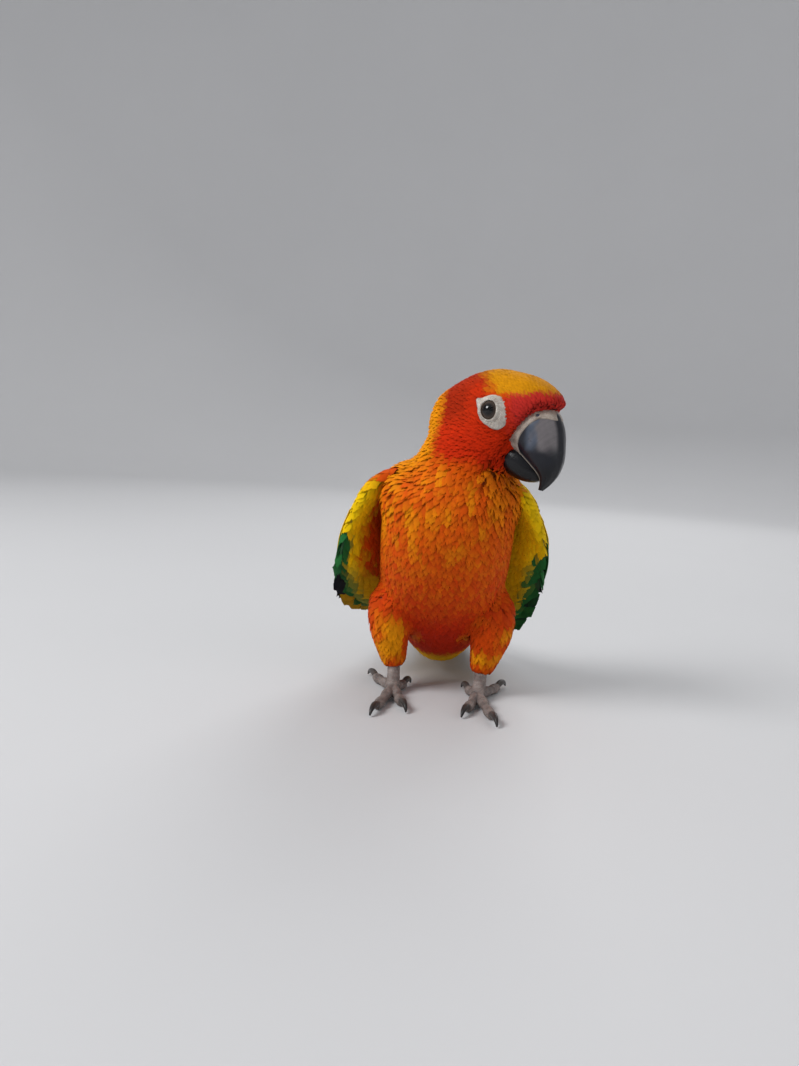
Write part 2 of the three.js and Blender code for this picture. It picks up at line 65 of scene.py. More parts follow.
# Legs
THIGH_OUT = 17.3
THIGH_FORWARD = -5.4
ANKLE = (16.5, -9.5, 14)
SOLE = (15.5, 0.5)
TOE_RADIUS = 1.9

# Coat
FACE_COAT = 0.6
HEAD_COAT = 1.0
BODY_COAT = 1.25
LEG_COAT = 0.9
SKIN_VOXEL = 0.75
FLESH_SWELL = 0.3
TUFT_PATCH = 0.003
LARGEST_PIECE = 190_000


def srgb(text):
    """Linear colour from a hex code."""
    values = [int(text[i : i + 2], 16) / 255 for i in (0, 2, 4)]
    return np.array([v / 12.92 if v <= 0.04045 else ((v + 0.055) / 1.055) ** 2.4 for v in values])


CHEEK_RED = srgb("bc2a04")
DEEP_RED = srgb("c22804")
BEHIND_EYE_RED = srgb("9e2404")
CRIMSON = srgb("ba2c24")
CROWN_RED = srgb("a82a0a")
GOLD = srgb("ca8604")
ORANGE = srgb("d45002")
RED_ORANGE = srgb("cc3a02")
BELLY_RED = srgb("bc2602")
YELLOW_ORANGE = srgb("e89004")
YELLOW = srgb("f0c404")
OLIVE_YELLOW = srgb("b8920a")
GREEN = srgb("246832")
DARK_GREEN = srgb("123f2c")
BLUE_BLACK = srgb("12161f")
DUSK = srgb("2a241c")
OLIVE = srgb("55601c")


def unit(v):
    v = np.asarray(v, float)
    return v / np.maximum(np.linalg.norm(v, axis=-1, keepdims=True), 1e-9)


def square_to(v, axis):
    """The unit direction nearest to v at right angles to a unit axis."""
    return unit(v - axis * (v * axis).sum(-1, keepdims=True))


def smooth(x):
    c = np.clip(x, 0, 1)
    return c * c * (3 - 2 * c)


def fade(value, start, end):
    """0 before start, 1 after end, with a soft step between."""
    return smooth((np.asarray(value, float) - start) / (end - start))


def mix(a, b, t):
    t = np.asarray(t, float)
    if t.ndim and np.ndim(a) and np.shape(a)[-1] == 3 and t.shape[-1:] != (3,):
        t = t[..., None]
    return a + (np.asarray(b) - a) * t


def along(rows, t):
    """Catmull-Rom values at t from 0 to 1 through rows of numbers."""
    rows = np.asarray(rows, float)
    t = np.atleast_1d(np.asarray(t, float))
    spans = len(rows) - 1
    at = np.clip(t * spans, 0, spans - 1e-9)
    i = at.astype(int)
    u = (at - i)[:, None]
    p, q, r, s = (rows[np.clip(i + k, 0, spans)] for k in (-1, 0, 1, 2))
    return 0.5 * (2 * q + (r - p) * u + (2 * p - 5 * q + 4 * r - s) * u**2 + (3 * q - p - 3 * r + s) * u**3)


# Where the bird is: its head from its eyes, and its own origin from its head
def node_middle(name):
    return np.array([v.co[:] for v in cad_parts[name].data.vertices]).mean(0) / MM


EYES = {1: node_middle("eye_left"), -1: node_middle("eye_right")}
UP = np.array([0.0, 0.0, 1.0])
RIGHT_TO_LEFT = np.array([1.0, 0, 0])
HEAD_LEFT = unit((EYES[1] - EYES[-1]) * [1, 1, 0])
BEAKWARD = np.cross(HEAD_LEFT, UP)
SKULL = (EYES[1] + EYES[-1]) / 2 + BEAKWARD * EYE_CENTRE_BEHIND
ORIGIN = SKULL - np.array([HEAD_PLACE[0], -HEAD_PLACE[1], HEAD_PLACE[2]])


def point(left, forward, up):
    return ORIGIN + np.stack(np.broadcast_arrays(left, -np.asarray(forward, float), up), -1)


def on_head(ahead, left, up):
    return SKULL + ahead * BEAKWARD + left * HEAD_LEFT + up * UP


def head_terms(points):
    """How far points lie ahead of, left of and above the middle of the head."""
    q = points - SKULL
    return q @ BEAKWARD, q @ HEAD_LEFT, q[..., 2]


def bird_terms(points):
    """Left, forward and up of points."""
    q = points - ORIGIN
    return q[..., 0], -q[..., 1], q[..., 2]


# Objects and meshes
def placed(name, data):
    """A new object in the scene."""
    thing = bpy.data.objects.new(name, data)
    bpy.context.scene.collection.objects.link(thing)
    return thing


def make_piece(name, points, faces, material, colours=None, maps=None, normals=None, sharp=False):
    """A piece in metres from points in millimetres and faces that are all triangles or all quads."""
    faces = np.asarray(faces, np.int32)
    mesh = bpy.data.meshes.new(name)
    mesh.vertices.add(len(points))
    mesh.vertices.foreach_set("co", (points * MM).astype(np.float32).ravel())
    mesh.loops.add(faces.size)
    mesh.loops.foreach_set("vertex_index", faces.ravel())
    mesh.polygons.add(len(faces))
    mesh.polygons.foreach_set("loop_start", np.arange(0, faces.size, faces.shape[1], dtype=np.int32))
    mesh.polygons.foreach_set("use_smooth", np.ones(len(faces), bool))
    mesh.update(calc_edges=True)
    mesh.validate()
    if sharp:
        mesh.set_sharp_from_angle(angle=math.radians(50))
    if normals is not None:
        mesh.normals_split_custom_set_from_vertices(normals.astype(np.float32))
    if colours is not None:
        layer = mesh.color_attributes.new("marking", "FLOAT_COLOR", "POINT")
        rgba = np.concatenate([colours, np.ones((len(colours), 1))], 1)
        layer.data.foreach_set("color", rgba.astype(np.float32).ravel())
    for label, uv in (maps or {}).items():
        layer = mesh.uv_layers.new(name=label)
        layer.data.foreach_set("uv", uv[faces.ravel()].astype(np.float32).ravel())
    mesh.materials.append(material)
    piece = placed(name, mesh)
    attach(piece, "root")
    return piece


def modify(thing, kind, **settings):
    modifier = thing.modifiers.new(kind, kind)
    for label, value in settings.items():
        setattr(modifier, label, value)


def taken(thing):
    """Points, outward directions and faces of an object with its modifiers. The object itself is removed."""
    done = thing.evaluated_get(bpy.context.evaluated_depsgraph_get()).to_mesh()
    points, normals = np.empty((2, len(done.vertices) * 3))
    done.vertices.foreach_get("co", points)
    done.vertices.foreach_get("normal", normals)
    faces = np.array([p.vertices[:] for p in done.polygons])
    bpy.data.objects.remove(thing)
    return points.reshape(-1, 3) / MM, normals.reshape(-1, 3), faces


def joined(parts):
    """Parts as one: their points, their faces, and whatever else each part has for its points."""
    points, faces, *others = zip(*parts)
    starts = np.cumsum([0] + [len(p) for p in points[:-1]])
    faces = [f + start for f, start in zip(faces, starts)]
    return [np.concatenate(group) for group in (points, faces, *others)]


def fused(parts, voxel, softness, rounds):
    """One closed, smoothed skin round overlapping closed shapes, each (points, triangles)."""
    points, faces = joined(parts)
    mesh = bpy.data.meshes.new("parts")
    mesh.from_pydata((points * MM).tolist(), [], faces.tolist())
    body = placed("parts", mesh)
    modify(body, "REMESH", mode="VOXEL", voxel_size=voxel * MM)
    modify(body, "SMOOTH", factor=softness, iterations=rounds)
    return taken(body)


# Materials
class Look:
    """A material under construction. Inputs of its nodes are values, or outputs of other nodes."""

    def __init__(self, name):
        self.material = bpy.data.materials.new(name)
        self.material.use_nodes = True
        self.tree = self.material.node_tree

    def feed(self, node, inputs):
        for label, value in inputs.items():
            if isinstance(value, bpy.types.NodeSocket):
                self.tree.links.new(value, node.inputs[label])
            else:
                node.inputs[label].default_value = value

    def add(self, kind, inputs, output=0, **settings):
        node = self.tree.nodes.new("ShaderNode" + kind)
        for label, value in settings.items():
            setattr(node, label, value)
        self.feed(node, inputs)
        return node.outputs[output]

    def math(self, operation, *values):
        return self.add("Math", dict(enumerate(values)), operation=operation)

    def place(self):
        return self.add("TexCoord", {}, "Object")

    def vane_map(self):
        return self.add("UVMap", {}, uv_map="vane")

    def marking(self):
        return self.add("Attribute", {}, "Color", attribute_name="marking")

    def noise(self, scale, detail, vector=None):
        vector = vector or self.place()
        return self.add("TexNoise", {"Scale": scale, "Detail": detail, "Vector": vector}, "Fac")

    def between(self, low, high, factor):
        return self.add("MapRange", {"To Min": low, "To Max": high, "Value": factor})

    def tinted(self, colour, factor, low, high):
        """Colour made darker and lighter between two values by a factor from 0 to 1."""
        return self.add("HueSaturation", {"Value": self.between(low, high, factor), "Color": colour})

    def finish(self, colour, roughness, height=None, strength=0.0, distance=0.0, **inputs):
        """The material, with a bump as high as height says; other inputs of its shader have _ for a space."""
        inputs = {label.replace("_", " "): value for label, value in inputs.items()}
        inputs |= {"Base Color": colour, "Roughness": roughness}
        if height is not None:
            relief = {"Height": height, "Strength": strength, "Distance": distance * MM}
            inputs["Normal"] = self.add("Bump", relief)
        self.feed(self.tree.nodes["Principled BSDF"], inputs)
        return self.material


def feather_material(name, roughness, gloss, barbs, depth):
    """Painted by the marking, with barbs that slant away from the shaft on the vane map."""
    look = Look(name)
    across, up = (look.add("SeparateXYZ", {0: look.vane_map()}, k) for k in (0, 1))
    off_shaft = look.math("ABSOLUTE", look.math("SUBTRACT", across, 0.5))
    wobble = look.math("MULTIPLY", look.noise(900, 2), 0.08)
    slant = look.math("SUBTRACT", up, look.math("MULTIPLY", off_shaft, 0.7))
    wave = look.math("SINE", look.math("MULTIPLY", look.math("ADD", slant, wobble), barbs))
    shaft = look.math("MULTIPLY", look.math("LESS_THAN", off_shaft, 0.02), 1.5)
    colour = look.tinted(look.marking(), look.noise(350, 4), 0.8, 1.2)
    colour = look.tinted(colour, look.math("MULTIPLY_ADD", wave, 0.5, 0.5), 0.94, 1.05)
    height = look.math("ADD", wave, shaft)
    return look.finish(colour, roughness, height, 0.3, depth, Specular_IOR_Level=gloss)


def skin_under_feathers():
    look = Look("skin_under_feathers")
    colour = look.tinted(look.marking(), look.noise(600, 5), 0.3, 0.75)
    return look.finish(colour, 0.8, look.noise(1500, 5), 0.6, 0.2)


def bare_skin_material(name, light, dark, roughness, wrinkles, cells):
    """Fine-grained bare skin: small cells over broad stains."""
    look = Look(name)
    stains = look.add("ValToRGB", {0: look.noise(wrinkles, 6)})
    for stop, place, colour in zip(stains.node.color_ramp.elements, (0.3, 0.7), (dark, light)):
        stop.position = place
        stop.color = (*colour, 1)
    cell = {"Scale": cells, "Vector": look.place()}
    gap = look.add("TexVoronoi", cell, "Distance", feature="DISTANCE_TO_EDGE")
    groove = look.math("MINIMUM", look.math("MULTIPLY", gap, 6), 1)
    colour = look.tinted(stains, groove, 0.72, 1.04)
    glow = (0.0012, 0.0006, 0.0004)
    return look.finish(colour, roughness, groove, 0.5, 0.08, Subsurface_Weight=0.12, Subsurface_Radius=glow)


def horn_material(name, roughness, wear_and_reflection):
    """Horn painted by its marking, with growth lines along the vane map and fine scratches."""
    look = Look(name)
    stretch = look.add("Mapping", {"Scale": (3, 34, 1), "Vector": look.vane_map()})
    lines, flakes = look.noise(1, 6, stretch), look.noise(700, 5)
    colour = look.tinted(look.marking(), lines, 1 - wear_and_reflection, 1 + wear_and_reflection)
    colour = look.tinted(colour, flakes, 0.85, 1.15)
    rough = look.between(roughness - 0.12, roughness + 0.18, flakes)
    height = look.math("MULTIPLY_ADD", lines, 1.5, flakes)
    gloss = {"Specular_IOR_Level": 0.28, "Coat_Weight": 0.1, "Coat_Roughness": 0.2}
    return look.finish(colour, rough, height, 0.35, 0.12, **gloss)


def eye_material():
    look = Look("wet_eye")
    colour = look.tinted(look.marking(), look.noise(1400, 4), 0.6, 1.4)
    return look.finish(colour, 0.04, Specular_IOR_Level=0.3, Coat_Weight=0.2, Coat_Roughness=0.02)


def floor_material():
    look = Look("pale_floor")
    return look.finish(look.tinted((0.55, 0.55, 0.56, 1), look.noise(3, 3), 0.97, 1.03), 0.75)


BODY_FEATHER = feather_material("body_feather", 0.75, 0.1, 190, 0.03)
FACE_FEATHER = feather_material("face_feather", 0.8, 0.08, 80, 0.03)
FLIGHT_FEATHER = feather_material("flight_feather", 0.55, 0.25, 300, 0.07)
SKIN = skin_under_feathers()
EYE_RING_SKIN = bare_skin_material("eye_ring_skin", srgb("c9c2b8"), srgb("958b82"), 0.65, 500, 2200)
CERE_SKIN = bare_skin_material("cere_skin", srgb("b5a99c"), srgb("7f7066"), 0.55, 450, 2000)
FOOT_SKIN = bare_skin_material("foot_scales", srgb("8d807a"), srgb("5c514e"), 0.6, 300, 1500)
BILL_HORN = horn_material("bill_horn", 0.3, 0.3)
CLAW_HORN = horn_material("claw_horn", 0.35, 0.25)
WET_EYE = eye_material()
FLOOR = floor_material()


# Shapes
def quads(a, b, c, d):
    """Two triangles for each quad."""
    a, b, c, d = (v.ravel() for v in (a, b, c, d))
    return np.concatenate([np.stack([a, b, c], -1), np.stack([a, c, d], -1)])


def turns(count):
    """Angles at even steps all round."""
    return 2 * np.pi * np.arange(count) / count


def ring(centre, sideways, upward, side, height, count, power=2.0):
    """A ring of points, squarer as power rises above 2."""
    angle = turns(count)
    c, s = (np.sign(v) * np.abs(v) ** (2 / power) for v in (np.cos(angle), np.sin(angle)))
    return centre + np.outer(side * c, sideways) + np.outer(height * s, upward)


def numbered(steps, count):
    """Numbers of the points in rings, and of the next point round from each."""
    here = np.arange(steps * count).reshape(steps, count)
    return here, np.roll(here, -1, 1)


def loft(rings):
    """Points, triangles and (across, along) map of a closed surface through rings, with a fan at each end."""
    steps, count = len(rings), len(rings[0])
    size = steps * count
    here, after = numbered(steps, count)
    faces = [
        quads(here[:-1], after[:-1], after[1:], here[1:]),
        np.stack([after[0], here[0], np.full(count, size)], -1),
        np.stack([here[-1], after[-1], np.full(count, size + 1)], -1),
    ]
    points = np.concatenate([*rings, [rings[0].mean(0)], [rings[-1].mean(0)]])
    v, u = np.meshgrid(np.linspace(0, 1, steps), np.arange(count) / count, indexing="ij")
    uv = np.concatenate([np.stack([u, v], -1).reshape(-1, 2), [[0.5, 0], [0.5, 1]]])
    return points, np.concatenate(faces), uv


def rim_of(grid):
    """The points round the border of a grid, in order."""
    return np.concatenate([grid[0], grid[1:, -1], grid[-1, -2::-1], grid[-2:0:-1, 0]])


def slopes(place, s, t):
    """How a surface over (s, t) runs down and across there."""
    return place(s + 0.004, t) - place(s - 0.004, t), place(s, t + 0.01) - place(s, t - 0.01)


class Surface:
    """A triangle surface that answers where its nearest point is and which way it faces there."""

    def __init__(self, points, faces):
        self.points = points
        self.faces = faces
        self.tree = BVHTree.FromPolygons(points.tolist(), faces.tolist())

    def nearest(self, points):
        hits = [self.tree.find_nearest(p) for p in points]
        return np.array([hit[0][:] for hit in hits]), np.array([hit[1][:] for hit in hits])

    def scatter(self, count):
        a, b, c = (self.points[self.faces[:, k]] for k in range(3))
        area = np.linalg.norm(np.cross(b - a, c - a), axis=1)
        pick = RANDOM.choice(len(self.faces), count, p=area / area.sum())
        u, v = RANDOM.random((2, count, 1))
        flip = u + v > 1
        u, v = np.where(flip, 1 - u, u), np.where(flip, 1 - v, v)
        return a[pick] + (b[pick] - a[pick]) * u + (c[pick] - a[pick]) * v


def point_tree(points):
    tree = KDTree(len(points))
    for i, p in enumerate(points):
        tree.insert(p, i)
    tree.balance()
    return tree


def thinned(points, spacing):
    """Numbers of those points that keep their spacing from one another."""
    tree = point_tree(points)
    free = np.ones(len(points), bool)
    kept = []
    for i, p in enumerate(points):
        if free[i]:
            kept.append(i)
            free[[j for _, j, _ in tree.find_range(p, float(spacing[i]))]] = False
    return np.array(kept)


# Camera, floor and light
def add_camera():
    data = bpy.data.cameras.new("camera")
    data.sensor_fit = "VERTICAL"
    data.sensor_height = SENSOR_HEIGHT
    data.lens = SENSOR_HEIGHT * FOCAL_PIXELS / PHOTO_HEIGHT
    data.clip_start = 0.01
    camera = placed("camera", data)
    place = Matrix.Translation(Vector(point(0, CAMERA_BEFORE_FEET, CAMERA_HEIGHT) * MM))
    for angle, axis in ((CAMERA_YAW, "Z"), (90 - CAMERA_PITCH, "X"), (CAMERA_ROLL, "Z")):
        place = place @ Matrix.Rotation(math.radians(angle), 4, axis)
    camera.matrix_world = place
    bpy.context.scene.camera = camera


def add_floor():
    """A floor that curves up into a backdrop, all round. Its sizes are in metres."""
    flat, rise, bend, around = 1.1, 1.6, 0.5, 64
    turn = np.linspace(0, np.pi / 2, 12)[1:]
    radius = np.concatenate([np.linspace(0, flat, 8), flat + bend * np.sin(turn), [flat + bend]])
    height = np.concatenate([np.zeros(8), bend * (1 - np.cos(turn)), [rise]])
    points = [(r * math.cos(a), r * math.sin(a), z) for r, z in zip(radius, height) for a in turns(around)]
    here, after = numbered(len(radius), around)
    faces = np.stack([here[1:], after[1:], after[:-1], here[:-1]], -1).reshape(-1, 4)
    mesh = bpy.data.meshes.new("floor")
    mesh.from_pydata(points, [], faces.tolist())
    mesh.polygons.foreach_set("use_smooth", [True] * len(faces))
    mesh.materials.append(FLOOR)
    floor = placed("floor", mesh)


def add_lights():
    for name, place, power, size in (
        ("key", (-0.8, -0.62, 0.85), 13, 0.5),
        ("fill", (0.9, -0.6, 0.4), 1.8, 0.8),
        ("back", (0.3, 0.9, 0.8), 5, 0.6),
    ):
        data = bpy.data.lights.new(name, "AREA")
        data.energy = power
        data.size = size
        light = placed(name, data)
        light.location = place
        light.rotation_euler = (Vector((0, 0, 0.06)) - Vector(place)).to_track_quat("-Z", "Y").to_euler()
    scene = bpy.context.scene
    scene.world = scene.world or bpy.data.worlds.new("studio")
    scene.world.use_nodes = True
    background = scene.world.node_tree.nodes["Background"]
    background.inputs["Color"].default_value = (0.96, 0.98, 1.0, 1)
    background.inputs["Strength"].default_value = 0.55
    scene.view_settings.view_transform = "Standard"


# The skin. Rows of the tail's root are its forward and up, half its width and half its height
TAIL_ROOT = [
    [-30, 15, 9, 7], [-38, 12.6, 9.5, 6.2], [-46, 10.6, 9, 4.8], [-54, 9, 8, 3.4], [-60, 8, 6.5, 2.2],
]
TRUNK_AXIS = [
    [0, -60, 6], [0, -42, 8.5], [0, -22.5, 28.5], [0, -2.5, 55.5],
    [0.3, 8.3, 75.5], [5.6, 13.3, 91], [16, 17, 108],
]
FLESH = ("head", "neck", "torso", "thigh_left", "thigh_right")
SET_IN_FLESH = ("eye_left", "eye_right", "eye_ring_left", "eye_ring_right")
BILL_CORE_INSET = -1.5


def fused_flesh():
    """One skin over the solids of flesh and eyes, swollen over their gaps, a tail root and bill cores."""
    parts = []
    for name in FLESH + SET_IN_FLESH:
        copy = placed("copy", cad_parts[name].data.copy())
        modify(copy, "WELD", merge_threshold=1e-6)
        points, normals, faces = taken(copy)
        parts.append((points + normals * FLESH_SWELL, faces))
    rows = along(TAIL_ROOT, np.linspace(0, 1, 12))
    tail_root = [ring(point(0, f, z), RIGHT_TO_LEFT, UP, side, half, 24, 2.2) for f, z, side, half in rows]
    parts.append(loft(tail_root)[:2])
    parts += [bill_loft(rows[:3], 12, 24, BILL_CORE_INSET)[:2] for rows in (UPPER_BILL, LOWER_BILL)]
    return fused(parts, SKIN_VOXEL, 0.6, 14)


def coat_depth(points):
    """How thick the coat is over each point of the body."""
    ahead, _, up = head_terms(points)
    _, forward, height = bird_terms(points)
    near_head = 1 - fade(np.linalg.norm(points - SKULL, axis=-1), 15, 30)
    depth = mix(BODY_COAT, HEAD_COAT, near_head)
    depth = mix(depth, FACE_COAT, fade(ahead, -2, 8) * near_head)
    depth = depth + 2.2 * fade(past_feathers(points), -0.7, 1.2) * fade(up, -21.5, -18.5)
    return mix(depth, LEG_COAT, (1 - fade(height, 8, 20)) * fade(forward, -20, -14))


def coat_loft(points):
    """How high the tips of the feathers stand over the skin: fluffed at the nape and the shoulders."""
    ahead, _, up = head_terms(points)
    nape = fade(-ahead, 12, 20) * fade(up, -26, -16) * (1 - fade(up, 4, 12))
    left, _, height = bird_terms(points)
    shoulder = fade(height, 68, 79) * (1 - fade(height, 88, 95)) * fade(np.abs(left), 8, 15)
    return coat_depth(points) + 1.3 * nape + 1.8 * shoulder


# Markings: the colour of the plumage at each place
def lattice_noise(points, size, seed):
    """Smooth random values from 0 to 1 that vary over the given number of millimetres."""
    cells = np.random.default_rng(seed).random((16, 16, 16))
    at = points / size
    low = np.floor(at).astype(int)
    part = smooth(at - low)
    value = 0
    for corner in np.ndindex(2, 2, 2):
        weight = np.prod(np.where(corner, part, 1 - part), axis=-1)
        x, y, z = ((low + corner) % 16).T
        value = value + weight * cells[x, y, z]
    return value


def head_marking(points):
    """Red face, crimson about the bill, golden crown, and a yellower nape."""
    ahead, _, up = head_terms(points)
    ragged = (lattice_noise(points, 1.6, 1) - 0.5) * 2.2
    colour = mix(CHEEK_RED, DEEP_RED, fade(-up, 1, 9) * fade(ahead, -16, -8))
    colour = mix(colour, BEHIND_EYE_RED, fade(up, -6, 1) * fade(-ahead, 4, 8))
    colour = mix(colour, CRIMSON, fade(ahead + ragged, 5, 9))
    colour = mix(colour, CROWN_RED, fade(up + ragged, 5, 9))
    gold = fade(up - 0.07 * ahead + 0.7 * ragged, 2.6, 4.6) * fade(ahead + 0.97 * up + 2 * ragged, 3.5, 10)
    colour = mix(colour, GOLD, gold)
    colour = mix(colour, ORANGE, fade(-up + ragged, 14, 18.5))
    return mix(colour, YELLOW_ORANGE, fade(-ahead + ragged - 2.8 * fade(up, 0, 12), 14, 19))


def body_marking(points):
    """Orange breast mottled yellow, the mottling thinned towards the bird's left as painted shade; red belly,
    yellow back and vent.
    """
    left, forward, height = bird_terms(points)
    front = fade(forward - 0.62 * (height - 55), -8, 6)
    mottle = lattice_noise(points * [1, 1, 0.6], 3.1, 2)
    # The yellow mottling is the plumage's own; its thinning towards the bird's left is painted shade on the
    # side away from the light
    yellowness = fade(mottle, 0.42, 0.72) * fade(height, 34, 68) * (0.68 - 0.014 * left)
    colour = mix(ORANGE, YELLOW_ORANGE, yellowness)
    colour = mix(colour, RED_ORANGE, fade(-height, -70, -46) * front * 0.9)
    colour = mix(colour, BELLY_RED, fade(-height, -46, -28) * front)
    back = (1 - front) * fade(height, 18, 32)
    colour = mix(colour, mix(YELLOW_ORANGE, YELLOW, fade(-forward, 2, 14)), back * 0.9)
    vent = (1 - fade(forward + 0.55 * height, -15, -6)) * (1 - fade(height, 18, 28))
    return mix(colour, mix(YELLOW, YELLOW_ORANGE, 0.4), vent)


def thigh_marking(points):
    left, forward, height = bird_terms(points)
    patch = fade(lattice_noise(points, 5, 3) + 0.05 * (forward + 4) - 0.03 * np.abs(height - 22), 0.35, 0.75)
    return mix(mix(RED_ORANGE, ORANGE, 0.55 + 0.03 * (np.abs(left) - 17)), YELLOW_ORANGE, patch)


def neck_share(points):
    """0 on the body and 1 on the head, with a ragged edge between."""
    ahead, _, up = head_terms(points)
    ragged = (lattice_noise(points, 2.5, 4) - 0.5) * 4
    return 1 - fade(-up - 0.12 * ahead + ragged, 14, 21)


def on_thigh(points):
    left, forward, height = bird_terms(points)
    reach = np.hypot(np.abs(left) - THIGH_OUT, forward - THIGH_FORWARD)
    return fade(-reach, -11.5, -8) * (1 - fade(height, 28, 38))


def marking(points):
    colour = mix(body_marking(points), head_marking(points), neck_share(points))
    return mix(colour, thigh_marking(points), on_thigh(points))


# The lie of the coat
def nearest_axis(points):
    """For each point, how far along the trunk it lies, and the direction to the tail there."""
    t = np.linspace(0, 1, 60)
    axis = point(*along(TRUNK_AXIS, t).T)
    best = np.linalg.norm(points[:, None] - axis[None], axis=-1).argmin(1)
    return t[best], -unit(np.gradient(axis, axis=0))[best]


def lie(points):
    """Direction in which the feathers point: back from the bill over the head, and tailwards on the body."""
    ahead, _, up = head_terms(points)
    from_bill = unit(points - on_head(15, 0, -5))
    sweep = unit(from_bill - 0.25 * UP * fade(-ahead, 2, 14)[:, None])
    flow = mix(nearest_axis(points)[1], sweep, 1 - fade(-up + 0.1 * ahead, 10, 20))
    return unit(mix(flow, np.array([0, 0.12, -1.0]), on_thigh(points)))


def unwrap(points):
    """A place on the map for each point of the skin: round the trunk and along it, and the thighs apart."""
    t = nearest_axis(points)[0]
    off = points - point(*along(TRUNK_AXIS, t).T)
    turn = np.arctan2(off[:, 0], off[:, 1] + off[:, 2] * 0.5) / (2 * np.pi) + 0.5
    trunk = np.stack([0.02 + 0.96 * turn, 0.02 + 0.74 * t], -1)
    left, forward, height = bird_terms(points)
    turn = np.arctan2(forward - THIGH_FORWARD, np.abs(left) - THIGH_OUT) / (2 * np.pi) + 0.5
    leg = np.stack([0.02 + 0.46 * turn + 0.5 * (left > 0), 0.8 + 0.18 * np.clip(height / 40, 0, 1)], -1)
    return np.where((on_thigh(points) > 0.5)[:, None], leg, trunk)


# Contour feathers
def vane_grid(columns, rows, fringe, blunt, profile):
    """One small feather: across from -1 to 1 and up from 0 to 1 for its top, and last a point below its
    middle from which its underside fans out. Its tip is rounded by blunt and fringed with fingers."""
    x = np.linspace(-1, 1, columns)
    v = np.linspace(0, 1, rows)
    across = np.append(np.tile(x, rows), 0.0)
    up = np.append(np.repeat(v, columns), 0.6)
    size = rows * columns
    up[size - columns : size] = 1 - blunt * x**2 - np.where(np.arange(columns) % 2, fringe, 0.0)
    up[size - 2 * columns : size - columns] = v[-2] - 0.5 * blunt * x**2
    grid = np.arange(size).reshape(rows, columns)
    top = quads(grid[:-1, :-1], grid[:-1, 1:], grid[1:, 1:], grid[1:, :-1])
    rim = rim_of(grid)
    under = np.stack([np.roll(rim, -1), rim, np.full(len(rim), size)], -1)
    return across, up, np.concatenate([top, under]), np.interp(up, *zip(*profile))


BODY_PROFILE = [(0, 0.45), (0.25, 0.85), (0.5, 1.0), (0.75, 0.88), (1, 0.5)]
FACE_PROFILE = [(0, 0.5), (0.3, 0.9), (0.55, 1.0), (0.8, 0.8), (1, 0.4)]
BODY_VANE = vane_grid(13, 5, 0.09, 0.42, BODY_PROFILE)
FACE_VANE = vane_grid(7, 4, 0.15, 0.4, FACE_PROFILE)


def blended(values, up):
    """Values given at even steps along each feather, read at the places up along it."""
    at = np.clip(up, 0, 1) * (len(values) - 1)
    low = np.minimum(at.astype(int), len(values) - 2)
    part = (at - low)[:, None, None]
    return values[low] * (1 - part) + values[low + 1] * part


def laid_lines(roots, surface, flow, length):
    """Follows the surface from each root: its places and outward directions at a few steps."""
    steps = 6
    turn = np.radians(RANDOM.normal(0, 6, len(roots)))[:, None]
    place, facing = surface.nearest(roots)
    direction = square_to(flow(place), facing)
    direction = direction * np.cos(turn) + np.cross(facing, direction) * np.sin(turn)
    places, normals = [place], [facing]
    for _ in range(steps):
        moved, facing = surface.nearest(place + direction * (length / steps)[:, None])
        direction = unit(moved - place)
        place = moved
        places.append(place)
        normals.append(facing)
    normals = np.array(normals)
    for _ in range(3):
        normals[1:-1] = unit(normals[:-2] + normals[1:-1] * 2 + normals[2:])
    return np.array(places), normals


def grow_vanes(roots, surface, flow, length, width, lift, shape):
    """Feathers laid over a surface from their roots: each rises at once and then runs level to its tip.
    Returns points, triangles, normals that lean towards the coat's own, and the vane map."""
    across, up, faces, profile = shape
    count = len(roots)
    line, normal = laid_lines(roots, surface, flow, length)
    share = np.linspace(0, 1, len(line))[:, None]
    tangent = unit(np.gradient(line, axis=0))
    sideways = unit(np.cross(tangent, normal))
    outward = np.cross(sideways, tangent)
    height = lift * (0.45 * share + 0.55 * (1 - (1 - share) ** 2)) - 0.3 * (1 - share) ** 2
    line = line + outward * height[..., None]
    centre, side, out, forth = (blended(v, up) for v in (line, sideways, outward, tangent))
    edge = (np.abs(across) > 0.9)[:, None]
    half = width / 2 * profile[:, None] * (1 + 0.1 * RANDOM.normal(0, 1, (len(up), count)) * edge)
    arch = 0.14 * (1 - across**2)[:, None] * half
    arch[-1] = -0.1
    fray = RANDOM.normal(0, 0.035, (len(up), count)) * (up > 0.7)[:, None] * length
    points = centre + side * (across[:, None] * half)[..., None]
    points = points + out * arch[..., None] + forth * fray[..., None]
    normals = unit(out + side * (0.28 * across)[:, None, None] + forth * (0.1 * up**2)[:, None, None])
    points, normals = (v.transpose(1, 0, 2).reshape(-1, 3) for v in (points, normals))
    faces = (faces[None] + (np.arange(count) * len(up))[:, None, None]).reshape(-1, 3)
    return points, faces, normals, np.tile(np.stack([across * 0.5 + 0.5, up], -1), (count, 1))


def add_coat(name, roots, surface, flow, length, width, lift, colours, shape, material, where):
    """Grows feathers, painted from a root to a tip colour, in pieces that are not too large."""
    points, faces, normals, vane_uv = grow_vanes(roots, surface, flow, length, width, lift, shape)
    per_vane, per_faces = len(shape[0]), len(shape[2])
    base, tip = (np.repeat(c, per_vane, axis=0) for c in colours)
    shade = mix(base, tip, fade(vane_uv[:, 1], 0.35, 0.95))
    bake = np.repeat(where, per_vane, axis=0) + (vane_uv - 0.5) * TUFT_PATCH
    share = LARGEST_PIECE // per_faces
    for part, start in enumerate(range(0, len(roots), share)):
        end = min(start + share, len(roots))
        v = slice(start * per_vane, end * per_vane)
        f = faces[start * per_faces : end * per_faces] - v.start
        maps = {"OFBake": bake[v], "vane": vane_uv[v]}
        make_piece(f"{name}_{part + 1}", points[v], f, material, shade[v], maps, normals[v])


